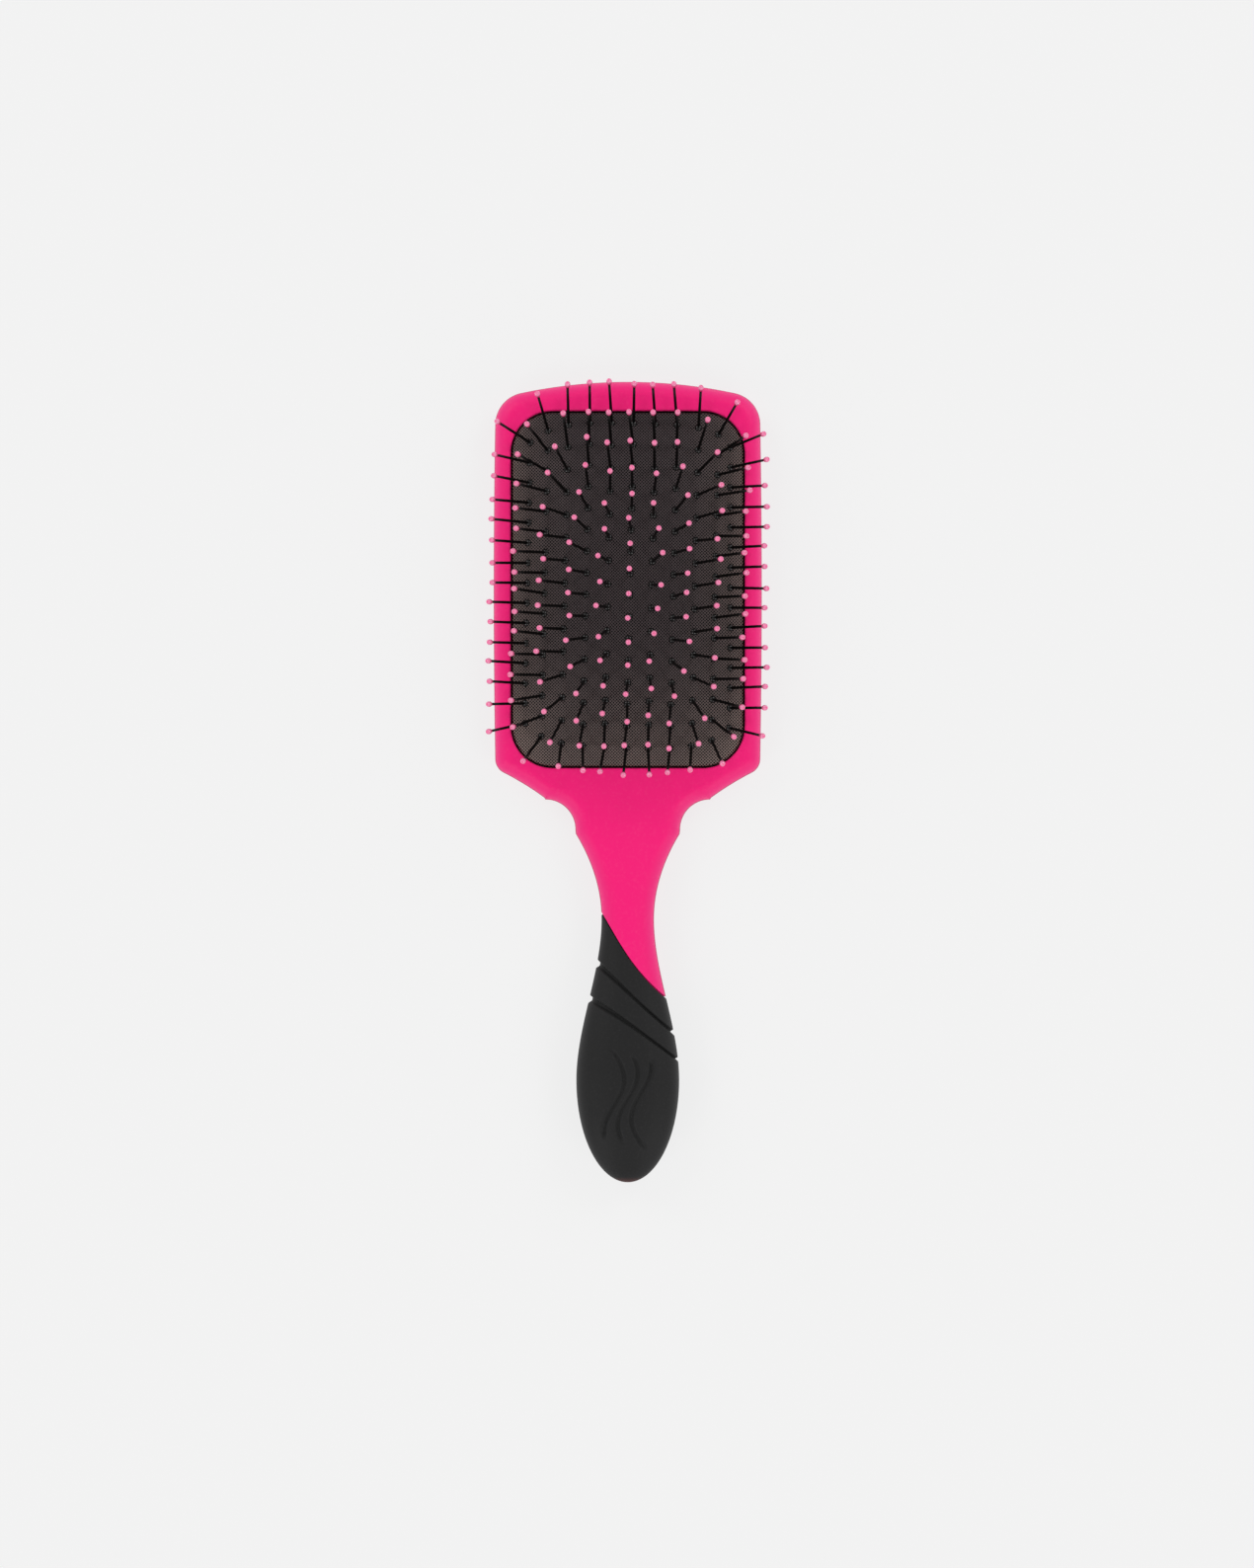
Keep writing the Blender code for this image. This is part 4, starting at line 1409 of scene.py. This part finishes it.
class BeadTree(PinTree):
    """Tree for the drop-shaped beads on the pins' ends."""

    name = "pin_beads"
    segments = 10
    rings = 7
    radius = 0.00105
    height = 0.0027
    taper = 0.22

    def shape(self, graph: Graph, given: bpy.types.Node) -> Socket:
        """Bead narrowed towards the shaft, with its height along the pin stored for the finish."""
        sphere = {"Segments": self.segments, "Rings": self.rings, "Radius": 1.0}
        ball = graph.add("GeometryNodeMeshUVSphere", sphere)
        place = graph.add("ShaderNodeSeparateXYZ", {0: graph.add("GeometryNodeInputPosition").outputs[0]})
        swell = graph.math("MULTIPLY_ADD", place.outputs["Z"], self.taper, 1.0 - self.taper / 2)
        width = graph.math("MULTIPLY", swell, self.radius)
        drop = graph.add(
            "ShaderNodeCombineXYZ",
            {
                0: graph.math("MULTIPLY", place.outputs["X"], width),
                1: graph.math("MULTIPLY", place.outputs["Y"], width),
                2: graph.math("MULTIPLY", place.outputs["Z"], self.height / 2),
            },
        )
        marked = graph.add(
            "GeometryNodeStoreNamedAttribute",
            {"Geometry": ball.outputs[0], "Name": "pole", "Value": place.outputs["Z"]},
            data_type="FLOAT",
            domain="POINT",
        )
        placed = {"Geometry": marked.outputs[0], "Position": drop.outputs[0]}
        formed = graph.add("GeometryNodeSetPosition", placed)
        middle = graph.math("SUBTRACT", given.outputs["Length"], self.height / 2)
        rise = graph.add("ShaderNodeCombineXYZ", {2: middle})
        lifted = graph.add("GeometryNodeTransform", {0: formed.outputs[0], "Translation": rise.outputs[0]})
        return lifted.outputs[0]


class CollarTree(TurnedTree):
    """Tree for the low rubber collars round the pins' roots."""

    name = "pin_collars"
    inputs = (("Radius", FLOAT),)
    segments = 10
    rings = 6
    flatness = 0.60

    def shape(self, graph: Graph, given: bpy.types.Node) -> Socket:
        """Flattened boss, half sunk in the pad."""
        sphere = {"Segments": self.segments, "Rings": self.rings, "Radius": given.outputs["Radius"]}
        ball = graph.add("GeometryNodeMeshUVSphere", sphere)
        squat = graph.add("GeometryNodeTransform", {0: ball.outputs[0], "Scale": (1.0, 1.0, self.flatness)})
        return squat.outputs[0]


@dataclass
class RimFrame:
    """Hidden frame that keeps the pad's flange in its groove; its CAD solid is kept."""

    finish: MouldedPlastic
    node: str = "rim_frame"

    def dress(self) -> bpy.types.Object:
        """Give the CAD solid its material."""
        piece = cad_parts[self.node]
        piece.data.materials.clear()
        piece.data.materials.append(self.finish.material())
        return piece


# ---------------------------------------------------------------- stage


@dataclass
class Studio:
    """Pale floor, soft lights on all sides and an overhead camera."""

    floor_size: float = 6.0
    floor_drop: float = 0.0001
    pale: float = 0.887
    floor_diffuse: float = 0.10
    room: float = 0.40
    light_reach: float = 1.1
    light_height: float = 1.15
    light_size: float = 0.9
    light_power: float = 10.4
    camera_height: float = 1.6
    view_height: float = 0.524
    sensor: float = 36.0
    focus_plane: float = 0.006
    view_middle: tuple[float, float] = (-0.00025, -0.0008)

    def build(self) -> None:
        """Set the floor, the lights, the world and the camera."""
        self._floor()
        self._world()
        for number, (side_x, side_y) in enumerate(((-1, -1), (1, -1), (1, 1), (-1, 1))):
            place = (side_x * self.light_reach, side_y * self.light_reach, self.light_height)
            self._light(f"soft_light_{number}", place)
        self._camera()
        bpy.context.scene.view_settings.view_transform = "Standard"

    def _floor(self) -> None:
        """Pale floor that shows only a trace of shadow."""
        half = self.floor_size / 2
        corners = [(-half, -half), (half, -half), (half, half), (-half, half)]
        mesh = bpy.data.meshes.new("floor")
        mesh.from_pydata([(x, y, -self.floor_drop) for x, y in corners], [], [(0, 1, 2, 3)])
        material = bpy.data.materials.new("pale_floor")
        material.use_nodes = True
        shader = material.node_tree.nodes["Principled BSDF"]
        shader.inputs["Base Color"].default_value = rgba((self.floor_diffuse,) * 3)
        shader.inputs["Roughness"].default_value = 1.0
        shader.inputs["Specular IOR Level"].default_value = 0.0
        shader.inputs["Emission Color"].default_value = (1.0, 1.0, 1.0, 1.0)
        shader.inputs["Emission Strength"].default_value = self.pale - self.floor_diffuse
        mesh.materials.append(material)
        floor = bpy.data.objects.new("floor", mesh)
        bpy.context.scene.collection.objects.link(floor)

    def _world(self) -> None:
        """Surroundings that look pale, but light the brush less than the lamps do."""
        world = bpy.data.worlds.new("studio")
        world.use_nodes = True
        graph = Graph(world.node_tree)
        seen = graph.add("ShaderNodeLightPath").outputs["Is Camera Ray"]
        strength = graph.ramp(seen, into=(self.room, self.pale))
        background = world.node_tree.nodes["Background"]
        background.inputs["Color"].default_value = (1.0, 1.0, 1.0, 1.0)
        world.node_tree.links.new(strength, background.inputs["Strength"])
        bpy.context.scene.world = world

    def _light(self, name: str, place: tuple[float, float, float]) -> None:
        """Square soft light at a place, aimed at the middle of the brush."""
        data = bpy.data.lights.new(name, "AREA")
        data.size, data.energy = self.light_size, self.light_power
        light = bpy.data.objects.new(name, data)
        light.location = place
        light.rotation_euler = (-Vector(place)).to_track_quat("-Z", "Y").to_euler()
        bpy.context.scene.collection.objects.link(light)

    def _camera(self) -> None:
        """Camera straight above, framing the whole brush with wide margins."""
        data = bpy.data.cameras.new("camera")
        data.sensor_width = self.sensor
        data.lens = self.sensor * self.camera_height / self.view_height
        camera = bpy.data.objects.new("camera", data)
        camera.location = (*self.view_middle, self.camera_height + self.focus_plane)
        bpy.context.scene.collection.objects.link(camera)
        bpy.context.scene.camera = camera


def main() -> None:
    """Build every sub-assembly in order and report each piece."""
    logging.basicConfig(level=logging.INFO, format="%(name)s: %(message)s")
    groups = {"grain": build_grain_group(), "dust": build_dust_group()}
    plan, window = BrushPlan(), PadWindow()
    dome = PadDome(window)
    grip_edge = (-0.0577, -0.0141, 0.0002)
    pins = PinField(dome, PinSplay(window), NylonShaft(**groups), ResinBead(**groups), CollarRubber(**groups))
    steps: tuple[tuple[str, Callable[[], object]], ...] = (
        ("paddle body", PaddleBody(plan, window, SoftTouchPaint(**groups), grip_edge).build),
        ("grip sleeve", GripSleeve(plan, GripRubber(**groups), grip_edge).build),
        ("cushion pad", CushionPad(dome, CrosshatchRubber(**groups)).build),
        ("pins", pins.build),
        ("rim frame", RimFrame(MouldedPlastic(**groups)).dress),
        ("studio", Studio().build),
    )
    for label, build in steps:
        made = build()
        for piece in made if isinstance(made, list) else [made]:
            if piece is not None:
                LOG.info("%s: %s, %d faces", label, piece.name, len(piece.data.polygons))


if __name__ == "__main__":
    main()
